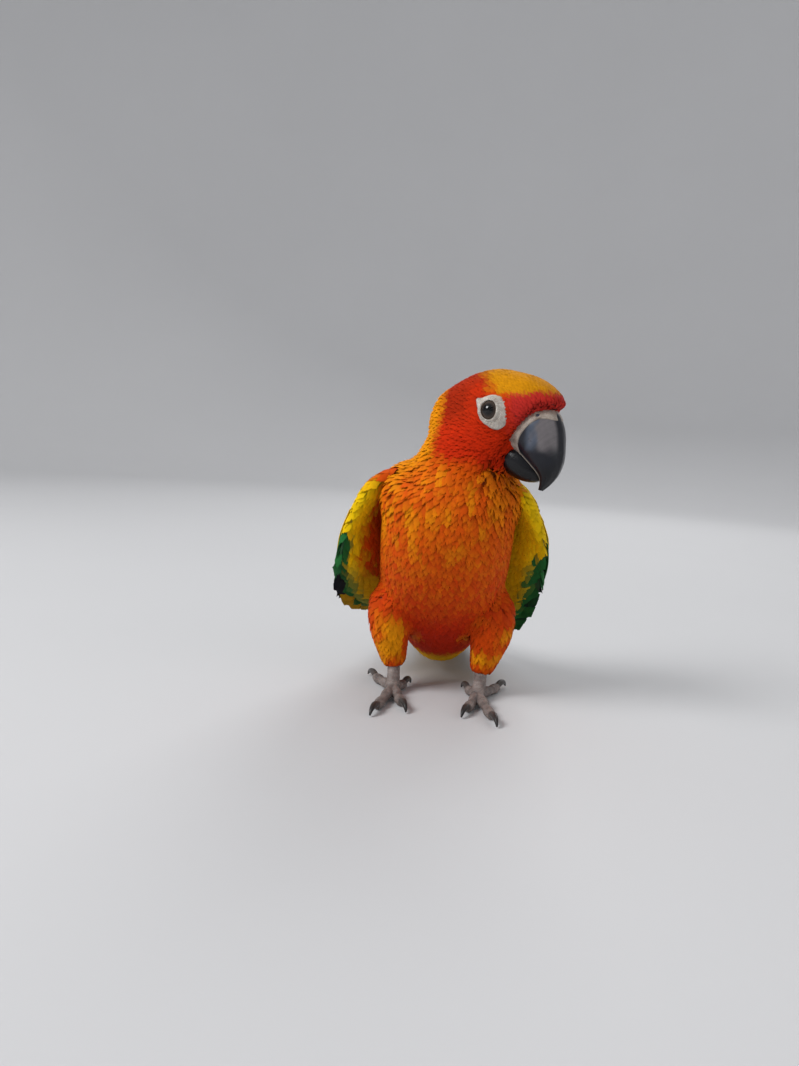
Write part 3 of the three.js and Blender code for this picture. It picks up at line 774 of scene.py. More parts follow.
def varied(colours, spread):
    """Colours with each feather a little lighter or darker."""
    return np.clip(colours * (1 + RANDOM.normal(0, spread, (len(colours), 1))), 0.001, 1)


def body_spacing(points):
    """How far apart the roots of the contour feathers stand."""
    face = fade(head_terms(points)[0], -8, 8)
    low_leg = on_thigh(points) * (1 - fade(bird_terms(points)[2], 8, 24))
    spacing = mix(1.4, mix(0.9, 0.66, face), neck_share(points))
    return mix(spacing, 0.9, low_leg)


def contour_colours(roots):
    """Root and tip colour of each contour feather."""
    base = marking(roots)
    breast = (1 - neck_share(roots)) * fade(bird_terms(roots)[2], 26, 50)
    tip = mix(base, YELLOW_ORANGE, RANDOM.random(len(roots)) * 0.35 * breast)
    return varied(mix(base, ORANGE, 0.3 * breast) * 0.85, 0.03), varied(tip, 0.05)


def add_skin_and_coat():
    points, normals, sides = fused_flesh()
    skin_points = points - normals * coat_depth(points)[:, None]
    tris = quads(*sides.T)
    uv = {"OFBake": unwrap(skin_points)}
    skin = make_piece("skin", skin_points, tris, SKIN, marking(skin_points), uv)
    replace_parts(skin, *FLESH)

    surface = Surface(skin_points, tris)
    roots = surface.scatter(150_000)
    roots = roots[clear_of_bare_parts(roots)]
    roots = roots[thinned(roots, body_spacing(roots))]
    spacing = body_spacing(roots)
    head = neck_share(roots) > 0.35
    for name, chosen, shape, material, slot in (
        ("head_coat", head, FACE_VANE, FACE_FEATHER, "head_feathers"),
        ("body_coat", ~head, BODY_VANE, BODY_FEATHER, "body_feathers"),
    ):
        p, gap = roots[chosen], spacing[chosen]
        length = short_of_eye_rings(p, surface, gap * RANDOM.normal(4.6, 0.3, len(p)))
        width = gap * RANDOM.normal(2.3, 0.12, len(p))
        lift = coat_loft(p) * RANDOM.uniform(0.96, 1.04, len(p))
        colours = contour_colours(p)
        add_coat(name, p, surface, lie, length, width, lift, colours, shape, material, unwrap(p))
    return Surface(points, tris)


# The bare ring round the eye: degrees from ahead by way of above, and its reach from the eye's centre
RING_OUTLINE = [
    (0, 5.6), (22, 5.5), (45, 5.5), (79, 5.0), (110, 4.6), (130, 4.8), (146, 6.3),
    (158, 5.0), (174, 3.9), (218, 3.8), (265, 4.6), (297, 6.3), (322, 6.5), (345, 5.9),
]


def ring_reach(angle):
    return np.interp(np.degrees(angle), *zip(*RING_OUTLINE), period=360)


def eye_frame(side):
    """The middle of an eye ring, and outward, ahead and above there."""
    outward = unit(side * HEAD_LEFT + 0.24 * BEAKWARD + 0.1 * UP)
    return EYES[side] + outward * EYE_BALL_SUNK, outward, square_to(BEAKWARD, outward), square_to(UP, outward)


def in_eye_ring(points, side, height_limit, margin):
    """True near an eye ring's plane and inside its outline by more than a margin."""
    hub, outward, ahead, above = eye_frame(side)
    off = points - hub
    x, y = off @ ahead, off @ above
    near = np.abs(off @ outward) < height_limit
    return near & (np.hypot(x, y) < ring_reach(np.arctan2(y, x)) - margin)


def short_of_eye_rings(roots, surface, length):
    """Lengths cut down so that no feather's tip lies more than a little over an eye ring."""
    line, _ = laid_lines(roots, surface, lie, length)
    share = np.ones(len(roots))
    for side in (1, -1):
        inside = in_eye_ring(line, side, 6, 0.35)
        first = np.where(inside.any(0), inside.argmax(0) / (len(line) - 1), 1)
        share = np.minimum(share, first)
    return np.maximum(length * share, 0.9)


def clear_of_bare_parts(points):
    """False inside the eye rings, on the bill and on its cere."""
    bill = (past_feathers(points) > -0.1) & (head_terms(points)[2] > -20)
    return ~(bill | in_eye_ring(points, 1, 5, 0.15) | in_eye_ring(points, -1, 5, 0.15))


# Bill. Each row has ahead and up of its upper and of its lower line, and half its width
UPPER_BILL = [
    [9.5, 3.4, 0.5, -11.5, 8.1],
    [15, 1.4, 4.6, -12.4, 8.2],
    [17.9, -3.2, 7.8, -14.8, 7.5],
    [19, -9, 10.2, -16.9, 6.2],
    [19.2, -14, 11.8, -18.4, 4.9],
    [17.9, -18.6, 12.8, -19.9, 3.5],
    [15.6, -21.8, 12.5, -22, 2],
    [13.2, -23.8, 12, -23.5, 0.7],
]
LOWER_BILL = [
    [0.5, -8.6, -4.5, -15.4, 5.6],
    [4.6, -9.4, -0.8, -17.8, 6.4],
    [8, -11.4, 2.2, -20, 6.2],
    [11, -14.4, 6.2, -21.4, 5.1],
    [12.6, -17, 10, -21.6, 3.8],
    [13.4, -18.8, 12.3, -20.9, 1.8],
]
BILL_AXIS = unit(0.79 * BEAKWARD - 0.61 * UP)


def past_feathers(points):
    """How far points lie beyond the edge of the feathers round the bill, bowed forward at its middle."""
    left = head_terms(points)[1]
    return (points - SKULL) @ BILL_AXIS - 9.3 - 3 * np.clip(1 - (left / 8.5) ** 2, 0, 1)


def bill_loft(rows, steps, count, grow=0.0, keel=0.0):
    rings = []
    for f1, u1, f2, u2, side in along(rows, np.linspace(0, 1, steps)):
        top, low = on_head(f1, 0, u1), on_head(f2, 0, u2)
        middle, upward = (top + low) / 2, unit(top - low)
        half = np.linalg.norm(top - low) / 2 + grow
        section = ring(middle, HEAD_LEFT, upward, side + grow, half, count, 2.25)
        off = (section - middle) @ HEAD_LEFT
        height = (section - middle) @ upward / half
        ridge = keel * np.exp(-((off / (0.22 * side + 0.2)) ** 2)) * np.clip(height, 0, 1) ** 3
        rings.append(section + np.outer(ridge, upward))
    return loft(rings)


def bill_marking(points):
    """Dark slate: nearly black on the ridge, at the tip and near the gape; the paler grey patch at each side
    is painted reflection.
    """
    ahead, left, up = head_terms(points)
    cloud = (lattice_noise(points, 2.2, 5) - 0.5) * 3
    side = fade(np.abs(left), 1.8, 3.6)
    # patch: where a painted reflection of the light lightens each side of the bill to grey
    patch = side * fade(up + cloud, -13, -9) * fade(ahead + 0.5 * cloud, 9, 12.5)
    colour = mix(srgb("10111a"), srgb("14161e"), side)
    # The pale grey of the painted reflection, bluer towards the base and greyer towards the tip
    wear_and_reflection = mix(srgb("4a5362"), srgb("6d686a"), fade(ahead + cloud, 12, 14))
    return mix(mix(colour, wear_and_reflection, patch * 0.85), srgb("090a0e"), fade(-up, 14, 19) * 0.85)


def add_bill():
    lower, lower_faces, lower_uv = bill_loft(LOWER_BILL, 60, 56, grow=-0.15)
    upper, faces, uv = bill_loft(UPPER_BILL, 130, 112, keel=0.35)
    gap = np.linalg.norm(upper - Surface(lower, lower_faces).nearest(upper)[0], axis=1)
    edge = np.exp(-(((gap - 0.35) / 0.4) ** 2)) * fade(head_terms(upper)[0], 1, 5)
    rows = np.array(UPPER_BILL)
    ahead, up = along((rows[:, :2] + rows[:, 2:4]) / 2, uv[:, 1]).T
    upper = upper + unit(upper - on_head(ahead[:, None], 0, up[:, None])) * (0.22 * edge)[:, None]
    shade = mix(bill_marking(upper), srgb("aaa194"), edge * 0.9)
    piece = make_piece("upper_bill", upper, faces, BILL_HORN, shade, {"vane": uv})
    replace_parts(piece, "upper_mandible")
    shade = bill_marking(lower) * 0.4
    piece = make_piece("lower_bill", lower, lower_faces, BILL_HORN, shade, {"vane": lower_uv})
    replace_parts(piece, "lower_mandible")


def add_cere():
    """A low band of bare skin along the edge of the feathers, with a nostril sunk in each side."""
    points, faces, _ = bill_loft(UPPER_BILL[:3], 60, 96, grow=0.3, keel=0.1)
    left = head_terms(points)[1]
    width = 1.5 + 1.3 * np.clip(1 - (left / 7) ** 2, 0, 1)
    beyond = past_feathers(points) - width
    points = points - np.outer(np.clip(beyond, 0, None), BILL_AXIS)
    centre = on_head(11, 0, -4)
    points = points - unit(points - centre) * (np.clip(beyond + 0.3, 0, 1.2) * 0.6)[:, None]
    for side in (1, -1):
        nostril = on_head(12.9, side * 6.9, -0.2)
        nearest = points[np.linalg.norm(points - nostril, axis=1).argmin()]
        gap = np.linalg.norm(points - nearest, axis=1)
        sink = 0.9 * np.exp(-((gap / 0.6) ** 4)) - 0.22 * np.exp(-(((gap - 1.0) / 0.35) ** 2))
        points = points - unit(points - centre) * sink[:, None]
    piece = make_piece("cere_skin", points, faces, CERE_SKIN)
    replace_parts(piece, "cere")


# Eyes
def add_eye(word, side):
    """A ball about the eye's axis, a little raised at the cornea: black pupil, very dark brown iris."""
    centre, outward = EYES[side], eye_frame(side)[1]
    right = unit(np.cross(UP, outward))
    above = np.cross(outward, right)
    radius = EYE_BALL_RADIUS - 0.05
    rings = []
    for a in np.linspace(0.02, np.pi - 0.02, 40):
        r, height = radius * np.sin(a), -radius * np.cos(a) + 0.2 * np.clip(-np.cos(a), 0, 1) ** 12
        rings.append(ring(centre + outward * height, right, above, r, r, 48))
    points, faces, _ = loft(rings)
    off = points - centre
    gap = np.linalg.norm(off - np.outer(off @ outward, outward), axis=1)
    gap = np.where(off @ outward > 0, gap, 9)
    iris = mix(srgb("261c16"), srgb("43362c"), fade(gap, 1.9, 2.6))
    shade = mix(srgb("040405"), iris, fade(gap, 1.5, 1.75))
    piece = make_piece(f"eyeball_{word}", points, faces, WET_EYE, shade)
    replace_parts(piece, f"eye_{word}")


# The eye ring's section: share of the way from the lid's edge to the rim, and height over the line between
RING_SECTION = [
    (0, -1.2), (0.02, -0.3), (0.04, 0.12), (0.1, 0.34), (0.19, 0.4), (0.28, 0.3), (0.36, 0.12), (0.42, 0.14),
    (0.5, 0.24), (0.6, 0.26), (0.7, 0.2), (0.8, 0.16), (0.9, 0.06), (1, -0.15), (1.06, -0.7), (1, -1.6),
    (0.3, -2.2),
]


def add_eye_ring(word, side, flesh):
    """Bare wrinkled skin round the eye, drawn out behind and ahead, flush with the feathers at its rim."""
    hub, outward, ahead, above = eye_frame(side)
    angle = turns(160)
    circle = np.outer(np.cos(angle), ahead) + np.outer(np.sin(angle), above)
    long, tall = EYE_OPENING
    lid = long * tall / np.hypot(tall * np.cos(angle), long * np.sin(angle))
    lid_height = np.sqrt(EYE_BALL_RADIUS**2 - lid**2) - EYE_BALL_SUNK + 0.1
    reach = sum(ring_reach(angle + step) for step in (-0.06, 0, 0.06)) / 3
    rim_height = (flesh.nearest(hub + circle * reach[:, None])[0] - hub) @ outward
    for _ in range(12):
        rim_height = (np.roll(rim_height, 1) + 2 * rim_height + np.roll(rim_height, -1)) / 4
    rings = []
    for share, height in RING_SECTION:
        radius = mix(lid, reach, share)
        fold = np.sin(angle * 31 + 9 * share + 2 * np.sin(3 * angle)) * math.sin(math.pi * min(share, 1))
        level = mix(lid_height, rim_height - 0.1, share) + height * mix(1.0, 0.8, share) + 0.07 * fold
        rings.append(hub + circle * radius[:, None] + outward * level[:, None])
    here, after = numbered(len(rings), len(angle))
    faces = np.stack([here, after, np.roll(after, -1, 0), np.roll(here, -1, 0)], -1).reshape(-1, 4)[:, ::side]
    piece = make_piece(f"bare_eye_ring_{word}", np.concatenate(rings), faces, EYE_RING_SKIN)
    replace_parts(piece, f"eye_ring_{word}")


# Long feathers
def long_vane(place, outward, root, tip, width, lift, tilt=0.0, skew=0.0, rows=22, thick=0.22):
    """A closed, thin, slightly cambered feather with a raised shaft on a surface over (s, t). Returns points,
    triangles, and for each point its place across (-1 to 1), along (0 to 1) and whether it lies below."""
    u = 1 - (1 - np.linspace(0, 1, rows)) ** 1.5
    s, t = mix(root[0], tip[0], u), mix(root[1], tip[1], u)
    at = place(s, t)
    ahead = unit(np.gradient(at, axis=0))
    down, over = slopes(place, s, t)
    sideways = square_to(over, ahead)
    normal = square_to(unit(np.cross(down, over)) * outward, ahead)
    rounding = 0.9 * ((np.clip(u, 0.5, 1) - 0.5) / 0.5) ** 4
    profile = np.where(u < 0.5, mix(0.55, 1, smooth(u / 0.5)), np.sqrt(1 - rounding))
    x = np.array([-1, -0.72, -0.4, -0.08, 0, 0.08, 0.4, 0.72, 1])
    off = (width / 2 * profile)[:, None] * x * np.where(x < 0, 1 + skew, 1 - skew)
    off[:, 0] *= 1 - 0.1 * np.clip(RANDOM.normal(-0.6, 0.7, rows), 0, 1.5)
    height = mix(lift[0], lift[1], u)[:, None] + off * math.sin(tilt) - 0.12 * np.abs(off) * np.abs(x)
    shaft = 0.22 * (1 - 0.8 * u)[:, None] * (np.abs(x) < 0.02)
    points = np.concatenate([
        at[:, None] + sideways[:, None] * (off * share)[..., None] + normal[:, None] * level[..., None]
        for share, level in ((1, height + shaft), (0.985, height - thick - shaft))
    ]).reshape(-1, 3)
    size = rows * len(x)
    grid = np.arange(size).reshape(rows, -1)
    a, b, c, d = grid[:-1, :-1], grid[:-1, 1:], grid[1:, 1:], grid[1:, :-1]
    border = rim_of(grid)
    following = np.roll(border, -1)
    edge = quads(border, border + size, following + size, following)
    faces = np.concatenate([quads(a, b, c, d), quads(a, d, c, b) + size, edge])
    if np.cross(sideways, ahead)[rows // 2] @ normal[rows // 2] < 0:
        faces = faces[:, ::-1]
    return points, faces, np.tile(x, rows * 2), np.tile(np.repeat(u, len(x)), 2), np.repeat([0.0, 1.0], size)


def painted(vane, colours, spread):
    """A long vane's points and triangles, its colours a little lighter or darker, and its vane map."""
    points, faces, across, up, _ = vane
    shade = np.clip(colours * (1 + RANDOM.normal(0, spread)), 0.001, 1)
    return points, faces, shade, np.stack([across * 0.5 + 0.5, up], -1)


def add_vanes(name, vanes, corner):
    """One piece from painted vanes, each with its own small square of the map OFBake from a corner on."""
    points, faces, shade, vane_uv = joined(vanes)
    cells = [(k % 40, k // 40) for k in range(len(vanes))]
    squares = np.repeat(np.array(cells) * 0.02 + corner, [len(vane[0]) for vane in vanes], axis=0)
    maps = {"OFBake": squares + vane_uv * 0.016, "vane": vane_uv}
    return make_piece(name, points, faces, FLIGHT_FEATHER, shade, maps, sharp=True)


# Wings, from shoulder to tip, the left wing's free edge as 1 and the right wing's as -1
FREE_EDGE = {
    1: [
        [17, 15, 82], [27, 14.5, 77], [33, 8, 66], [36, 0, 56.5], [36.6, -10, 45], [35, -21, 32.5],
        [30, -36, 21], [24, -54, 15.5], [18, -73, 12.5], [12.5, -92, 10.5], [8, -110, 9],
    ],
    -1: [
        [19.5, 13, 82.5], [30, 12.5, 76], [35.8, 8, 63.4], [39, 3, 50], [39.8, -6, 38.5], [36.5, -18, 30.5],
        [29.5, -34, 24], [23, -54, 18.5], [18, -73, 15], [13, -92, 12], [8.5, -110, 10],
    ],
}
BACK_EDGE = [
    [11, 0, 83.5], [11.5, -6.5, 80], [10.5, -13, 74], [9, -20.5, 65.5], [7.8, -28, 56], [6.8, -37, 46],
    [6, -48, 36.5], [5.5, -61, 28.5], [5, -77, 21.5], [5, -93, 16], [5, -110, 12.5],
]
FLIGHT_TIPS = [
    [0.985, 0.9], [1, 0.55], [0.975, 0.3], [0.93, 0.25], [0.88, 0.2], [0.82, 0.17],
    [0.77, 0.15], [0.71, 0.13], [0.65, 0.12], [0.59, 0.1], [0.52, 0.1],
]
# Where the coverts' tips lie along the wing, first and last, and how soon they get there
COVERT_TIPS = {"greater": (0.48, 0.38, 1.4), "median": (0.34, 0.28, 1.0)}
WING_TILT = math.radians(13)
ARM_END = 0.6
ARM_AROUND = 64


def wing_surface(side):
    def place(s, t):
        edge, back = along(FREE_EDGE[side], s), along(BACK_EDGE, s)
        bulge = mix(6.5, 0.8, smooth(s / 0.9)) * mix(0.2, 1, smooth(s / 0.25)) * 4 * t * (1 - t)
        x, f, z = (back + (edge - back) * t[:, None]).T
        return point(side * (x + bulge * 0.45), f - bulge * 0.35, z + bulge * 0.6)

    return place


# Paints: colours for r from 0 to 1 through the row, x across, u along the feather, and its underside
def paint_flight(r, x, u, under):
    """Green outer webs, dark inner webs and tips, all dusky below."""
    outer = fade(x, -0.1, 0.2)
    colour = mix(BLUE_BLACK, mix(DARK_GREEN, GREEN, 0.5), outer * (1 - fade(u, 0.45, 0.8)))
    return mix(colour, DUSK, under * 0.9)


def paint_greater(r, x, u, under):
    """Green over the primaries, and yellow with green towards the tip further in."""
    green = mix(GREEN, DARK_GREEN, fade(u, 0.5, 0.95))
    yellow = mix(YELLOW, GREEN, fade(u + 0.2 * x, 0.35, 0.8) * 0.85)
    return mix(mix(green, yellow, fade(r, 0.2, 0.55)), DUSK, under * 0.3)


def paint_median(r, x, u, under):
    return mix(YELLOW, mix(YELLOW_ORANGE, YELLOW, 0.5), fade(u, 0.6, 1)) * (1 - 0.05 * under[:, None])


# Rows of feathers from the free edge inwards: (name, count, first root, last root, widths, lifts, paint)
WING_ROWS = [
    ("flight", 21, (0.27, 0.93), (0.25, 0.08), (8.2, 9.5), (-1.6, -1.0), paint_flight),
    ("greater", 17, (0.24, 0.95), (0.22, 0.1), (6.8, 7.6), (-0.3, 0.3), paint_greater),
    ("median", 17, (0.18, 0.94), (0.16, 0.12), (5.4, 6.4), (0.0, 0.6), paint_median),
]


def row_tip(name, r):
    """Where along the wing and across it the tip of a row's feather lies, r from 0 to 1 through the row."""
    if name == "flight":
        return along(FLIGHT_TIPS, r)[0]
    first, last, pace = COVERT_TIPS[name]
    return np.array([mix(first, last, smooth(r * pace)), mix(0.9, 0.12, r)])


def add_wing(word, side):
    place = wing_surface(side)
    vanes = []
    for name, count, first, last, widths, lifts, paint in WING_ROWS:
        for r in np.arange(count) / (count - 1):
            root = mix(np.array(first), np.array(last), r)
            tip = np.minimum(row_tip(name, r) + RANDOM.normal(0, 0.006, 2), [0.985, 1])
            skew = 0.35 * (1 - r) if name == "flight" else 0.1
            vane = long_vane(place, -side, root, tip, mix(*widths, r), lifts, WING_TILT, skew)
            vanes.append(painted(vane, paint(r, *vane[2:]), 0.05))
    piece = add_vanes(f"long_feathers_{word}_wing", vanes, (0.02, 0.02))
    arm, terms = wing_arm(place, side)
    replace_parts(piece, f"wing_{word}")
    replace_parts(arm_piece(word, side, arm, terms), f"wing_{word}")
    dress_arm(word, side, place, arm, terms)


def wing_arm(place, side):
    """The arm's skin, a flat rounded tube along the top of the wing, and (s, t, inner) for its points."""
    angle = turns(ARM_AROUND)
    c, n = (np.sign(v) * np.abs(v) ** 0.8 for v in (np.cos(angle), np.sin(angle)))
    rings, terms = [], []
    for along_arm in np.linspace(0, 1, 61):
        s = np.full(ARM_AROUND, mix(0.004, ARM_END, along_arm))
        below_flights = fade(s, 0.22, 0.38)
        t = mix(mix(0.02, 0.2, below_flights), 1.02, 0.5 + 0.5 * c)
        normal = unit(np.cross(*slopes(place, s, t))) * -side
        fading = mix(0.4, 1, smooth(s / 0.12)) * mix(1, 0.22, smooth(s / ARM_END))
        half = np.maximum(fading * mix(3.8, 7, smooth(t / 0.8)) - 0.9, 0.8) / 2
        depth = mix(mix(0.1, 0.9, below_flights), 2.7, below_flights * (1 - fade(t, 0.84, 0.97)))
        rings.append(place(s, t) + normal * (-depth - half + half * n)[:, None])
        terms.append(np.stack([s, t, fade(-n, -0.3, 0.3)], -1))
    points, faces, uv = loft(rings)
    terms = np.concatenate([*terms, [terms[0].mean(0)], [terms[-1].mean(0)]])
    return (points, faces[:, ::-side], uv), terms


def arm_piece(word, side, arm, terms):
    points, faces, uv = arm
    shade = arm_marking(side, terms, points) * 0.85
    maps = {"OFBake": uv * [0.4, 0.15] + [0.05, 0.8], "vane": uv}
    return make_piece(f"arm_{word}", points, faces, SKIN, shade, maps)


def arm_marking(side, terms, points):
    """Yellow coverts, green and then black along the free edge, and an orange lining, yellow further out."""
    s, t, inner = terms.T
    if side > 0:
        yellow_end, black_start, black_end, edge_start, edge_end = 0.285, 0.41, 0.9, 0.935, 1.0
        olive, orange_edge, ruff = 0.1, (0.15, 0.42), 0.03
    else:
        yellow_end, black_start, black_end, edge_start, edge_end = 0.21, 0.32, 0.405, 0.955, 0.985
        olive, orange_edge, ruff = 0.4, (0.68, 0.95), 0.05
    ragged = (lattice_noise(points * [1, 1, 0.35], 1.7, 6) - 0.5) * 0.06
    down = s + ragged
    orange_share = 1 - fade(t + 4 * ragged + 0.2 * fade(s, 0.3, 0.5), *orange_edge)
    outer = mix(YELLOW, GREEN, fade(s, 0.28, 0.36))
    lining = mix(mix(YELLOW, OLIVE_YELLOW, olive), mix(RED_ORANGE, BELLY_RED, 0.3), orange_share * 0.95)
    colour = mix(outer, lining, inner * fade(1 - t, 0.04, 0.16))
    colour = mix(ORANGE, colour, fade(down, ruff - 0.02, ruff + 0.03))
    start = mix(edge_start, edge_end, fade(s, 0.32, 0.42))
    edge = fade(t + 0.5 * ragged - start, 0, 0.03) * fade(down, yellow_end - 0.012, yellow_end + 0.012)
    colour = mix(colour, GREEN, edge)
    colour = mix(colour, BLUE_BLACK, edge * fade(down, black_start - 0.04, black_start + 0.04))
    return mix(colour, OLIVE_YELLOW, edge * inner * fade(down, black_end - 0.02, black_end + 0.02))


def dress_arm(word, side, place, arm, terms):
    """Small coverts over both faces of the arm, the inner ones larger towards the flight feathers."""
    points, faces, _ = arm
    surface = Surface(points, faces)
    tree = point_tree(points)
    s, t, inner = terms.T
    tailward = np.gradient(points[:-2].reshape(-1, ARM_AROUND, 3), axis=0).reshape(-1, 3)
    tailward = unit(np.concatenate([tailward, tailward[:1], tailward[-1:]]))
    flow = tailward - 0.3 * unit(slopes(place, s, t)[1])

    def nearest_point(places):
        return np.array([tree.find(p)[1] for p in places])

    roots = surface.scatter(20_000)
    at = nearest_point(roots)
    edge = (t[at] > 0.93) & (s[at] < 0.42)
    dressed = (s[at] < 0.24) | edge | (inner[at] > 0.3) & (s[at] < ARM_END - 0.04)
    roots, at = roots[dressed], at[dressed]
    shoulder = (1 - inner[at]) * fade(s[at], 0.04, 0.16) * (1 - fade(t[at], 0.86, 0.93))
    size = mix(mix(1.1, 1.9, fade(s[at], 0.1, 0.5)), 2.1, shoulder)
    kept = thinned(roots, size)
    roots, at, size, shoulder = roots[kept], at[kept], size[kept], shoulder[kept]
    base = arm_marking(side, terms[at], roots)
    colours = varied(base * 0.85, 0.04), varied(base, 0.06)
    length = size * RANDOM.normal(4.8, 0.3, len(roots))
    width = size * RANDOM.normal(2.4, 0.15, len(roots))
    where = np.stack([s[at], t[at]], -1) * [0.4, 0.15] + [0.55, 0.8]
    add_coat(
        f"arm_coverts_{word}", roots, surface, lambda p: flow[nearest_point(p)], length, width,
        mix(1.0, 1.9, shoulder), colours, BODY_VANE, BODY_FEATHER, where,
    )


# Tail
TAIL_LINE = [
    [-36, 13.5], [-50, 9.2], [-66, 6.4], [-84, 4.4], [-104, 2.6], [-126, 1.2], [-148, 0.55], [-168, 0.4],
]
TAIL_PAIRS = 6
TAIL_STEP = 0.092
VANE_STEP = 0.85


def tail_place(s, t):
    f, z = along(TAIL_LINE, s).T
    return point(t, f, z - t * t / 60)


def over_pairs(below):
    """The tail's surface, raised over the feathers that lie below."""
    ends = [1 - (TAIL_PAIRS - k) * TAIL_STEP for k in range(1, below + 1)]

    def place(s, t):
        spot = tail_place(s, t)
        spot[:, 2] += VANE_STEP * sum(smooth((end - s + 0.1) / 0.16) for end in ends) * mix(0.85, 1, s)
        return spot

    return place


def over_root(hang, over, reach, layer):
    """The surface of the tail's coverts, above or below it."""

    def place(s, t):
        spot = tail_place(s, t)
        height = hang * mix(1, 1 if over > 0 else 0.25, s / reach) * (1 - 0.12 * layer)
        spot[:, 2] = np.maximum(spot[:, 2] + height - np.abs(t) * 0.12 * over, 0.35)
        return spot

    return place


def paint_tail(x, u, under):
    """Olive green above, bluish at the tip, dusky below."""
    colour = mix(OLIVE, mix(OLIVE, BLUE_BLACK, 0.75), fade(u, 0.55, 0.95))
    colour = mix(colour, srgb("2b5560"), 0.4 * fade(u, 0.5, 0.8) * fade(np.abs(x), 0.2, 0.9))
    return mix(colour, DUSK, under * 0.85)


def add_tail():
    vanes = []
    for pair in range(TAIL_PAIRS):
        spread = mix(1.2, 10.5, pair / (TAIL_PAIRS - 1))
        for side in (1, -1):
            place = over_pairs(TAIL_PAIRS - 1 - pair + (1 if pair == 0 and side > 0 else 0))
            root, tip = (0, side * spread * 0.32), (1 - pair * TAIL_STEP, side * spread * 0.85)
            vane = long_vane(place, 1, root, tip, 9.5 if pair < 2 else 8.5, (0.25, 0.25), rows=34, thick=0.4)
            vanes.append(painted(vane, paint_tail(*vane[2:]), 0.04))
    for over, hang, reach, colour in ((1, 4.4, 0.34, OLIVE_YELLOW), (-1, -2.9, 0.4, YELLOW)):
        for layer in range(3):
            for t in np.arange(-4, 5) * 2.1:
                root = (0.02 + 0.06 * layer, t * 0.8)
                tip = (reach * (0.5 + 0.25 * layer) - 0.001 * t * t, t * 0.95)
                place = over_root(hang, over, reach, layer)
                vane = long_vane(place, over, root, tip, 5.4, (0.1, 0.3), rows=14, thick=0.2)
                shade = mix(YELLOW_ORANGE, colour, 0.75) * (0.8 + 0.2 * vane[3][:, None])
                vanes.append(painted(vane, shade, 0.06))
    piece = add_vanes("tail_feathers", vanes, (0.02, 0.4))
    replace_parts(piece, "tail")


# Feet. Each toe has its angle outwards from straight ahead, its length and its claw's reach
TOES = {
    "inner_front": (-17, 14, 7.5),
    "outer_front": (12, 19.5, 8),
    "outer_back": (152, 16.5, 8),
    "inner_back": (-158, 9.5, 6.5),
}
TOE_LINE = ((0, 2.6), (0.33, 2.5), (0.66, 1.95), (1, 1.75))
TOE_PADS = TOE_RADIUS + np.array([0.3, -0.2, 0.1, -0.35, 0, -0.5])
LEG_RADII = [2.5, 2.3, 2.6]
CLAW_RADII = [1.15, 1.15, 0.8, 0.3]


def toe_terms(side, angle):
    a = math.radians(angle)
    away = np.array([side * math.sin(a), -math.cos(a), 0.0])
    return point(side * SOLE[0], SOLE[1], 0), away, np.array([-away[1], away[0], 0.0])


def radius_along(radii, t):
    return along(np.array(radii)[:, None], t)[:, 0]


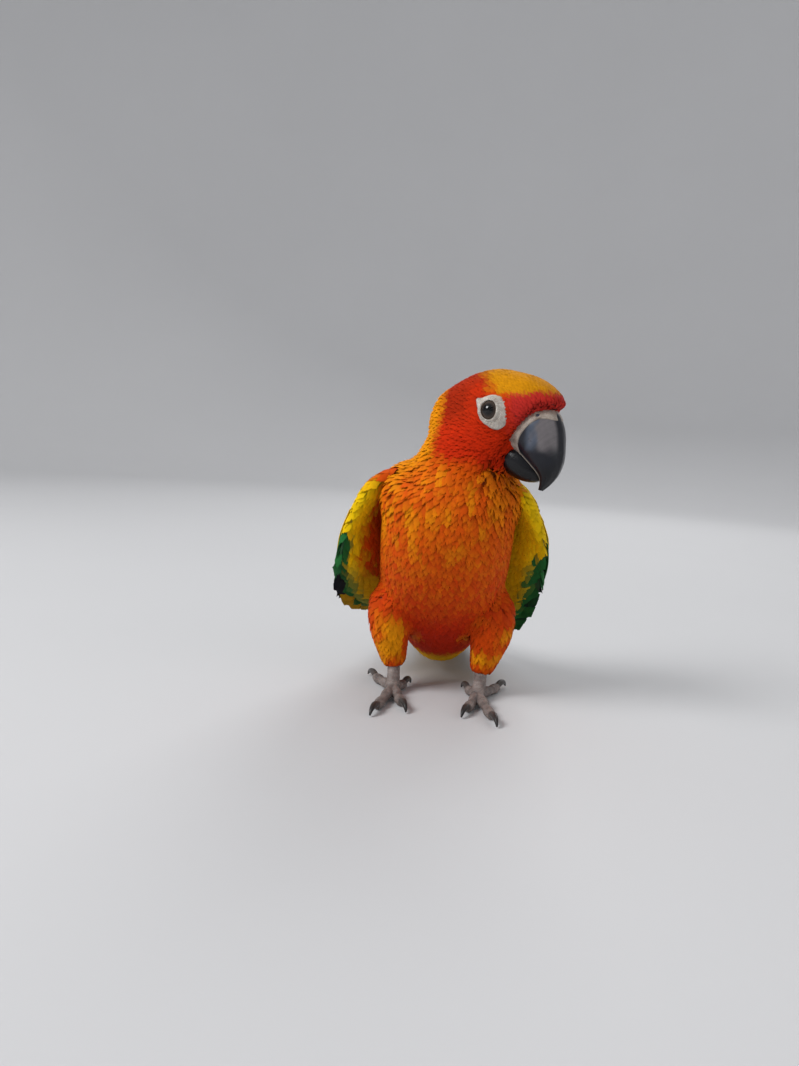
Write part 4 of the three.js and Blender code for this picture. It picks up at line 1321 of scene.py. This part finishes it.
def scaled_limb(places, radii, across, scute):
    """A slightly flat tube with raised bands of scales over its upper side and small grains below."""
    t = np.linspace(0, 1, 110)
    count = 30
    centres = along(places, t)
    radius = radius_along(radii, t)
    distance = np.append(0, np.cumsum(np.linalg.norm(np.diff(centres, axis=0), axis=1)))
    rings = []
    for centre, forwards, r, d in zip(centres, unit(np.gradient(centres, axis=0)), radius, distance):
        sideways = square_to(across, forwards)
        upward = np.cross(sideways, forwards)
        if upward[2] < 0 or (abs(upward[2]) < 0.3 and upward[1] > 0):
            upward = -upward
        section = ring(centre, sideways, upward, r, r * 0.95, count)
        out = unit(section - centre)
        above = np.clip(out @ upward + 0.3, 0, 1)
        groove = np.abs(math.cos(math.pi * d / scute)) ** 10
        grain = 0.5 * np.cos(turns(count) * 9 + (int(d / 0.9) % 2) * math.pi)
        rings.append(section + out * (0.1 * grain * (1 - above) - 0.2 * groove * above)[:, None])
    return loft(rings)[:2]


def add_foot(word, side):
    parts = []
    for angle, length, _ in TOES.values():
        sole, away, across = toe_terms(side, angle)
        places = [sole + away * length * share + UP * z for share, z in TOE_LINE]
        parts.append(scaled_limb(places, TOE_PADS, across, 1.5))
    ankle, sole = point(side * ANKLE[0], *ANKLE[1:]), point(side * SOLE[0], SOLE[1], 3)
    parts.append(scaled_limb([ankle, mix(ankle, sole, 0.5), sole], LEG_RADII, RIGHT_TO_LEFT, 1.7))
    points, _, sides = fused(parts, 0.2, 0.5, 1)
    points[:, 2] = np.maximum(points[:, 2], 0)
    piece = make_piece(f"scaled_foot_{word}", points, sides, FOOT_SKIN)
    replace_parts(piece, f"foot_{word}")


def add_claw(word, side, name):
    """A bent, tapering tube from inside the toe's end, darker towards its point."""
    angle, length, reach = TOES[name]
    sole, away, across = toe_terms(side, angle)
    heights = ((-1.2, 1.9), (reach * 0.32, 2.9), (reach * 0.7, 2.4), (reach * 0.92, 0.75))
    places = [sole + away * (length + out) + UP * z for out, z in heights]
    t = np.linspace(0, 1, 30)
    tangent = unit(along(places, t + 0.01) - along(places, t - 0.01))
    rings = []
    for centre, forwards, r in zip(along(places, t), tangent, radius_along(CLAW_RADII, t)):
        sideways = square_to(across, forwards)
        rings.append(ring(centre, sideways, np.cross(forwards, sideways), r, r, 22))
    points, faces, uv = loft(rings)
    points[:, 2] = np.maximum(points[:, 2], 0.02)
    shade = mix(srgb("4a4340"), srgb("191617"), fade(uv[:, 1], 0.1, 0.9))
    piece = make_piece(f"horn_{word}_{name}", points, faces, CLAW_HORN, shade, {"vane": uv})
    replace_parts(piece, f"claw_{word}_{name}")


SIDES = (("left", 1), ("right", -1))
add_camera()
add_floor()
add_lights()
flesh = add_skin_and_coat()
add_bill()
add_cere()
for word, side in SIDES:
    add_eye(word, side)
    add_eye_ring(word, side, flesh)
for word, side in SIDES:
    add_wing(word, side)
    add_foot(word, side)
    for name in TOES:
        add_claw(word, side, name)
add_tail()
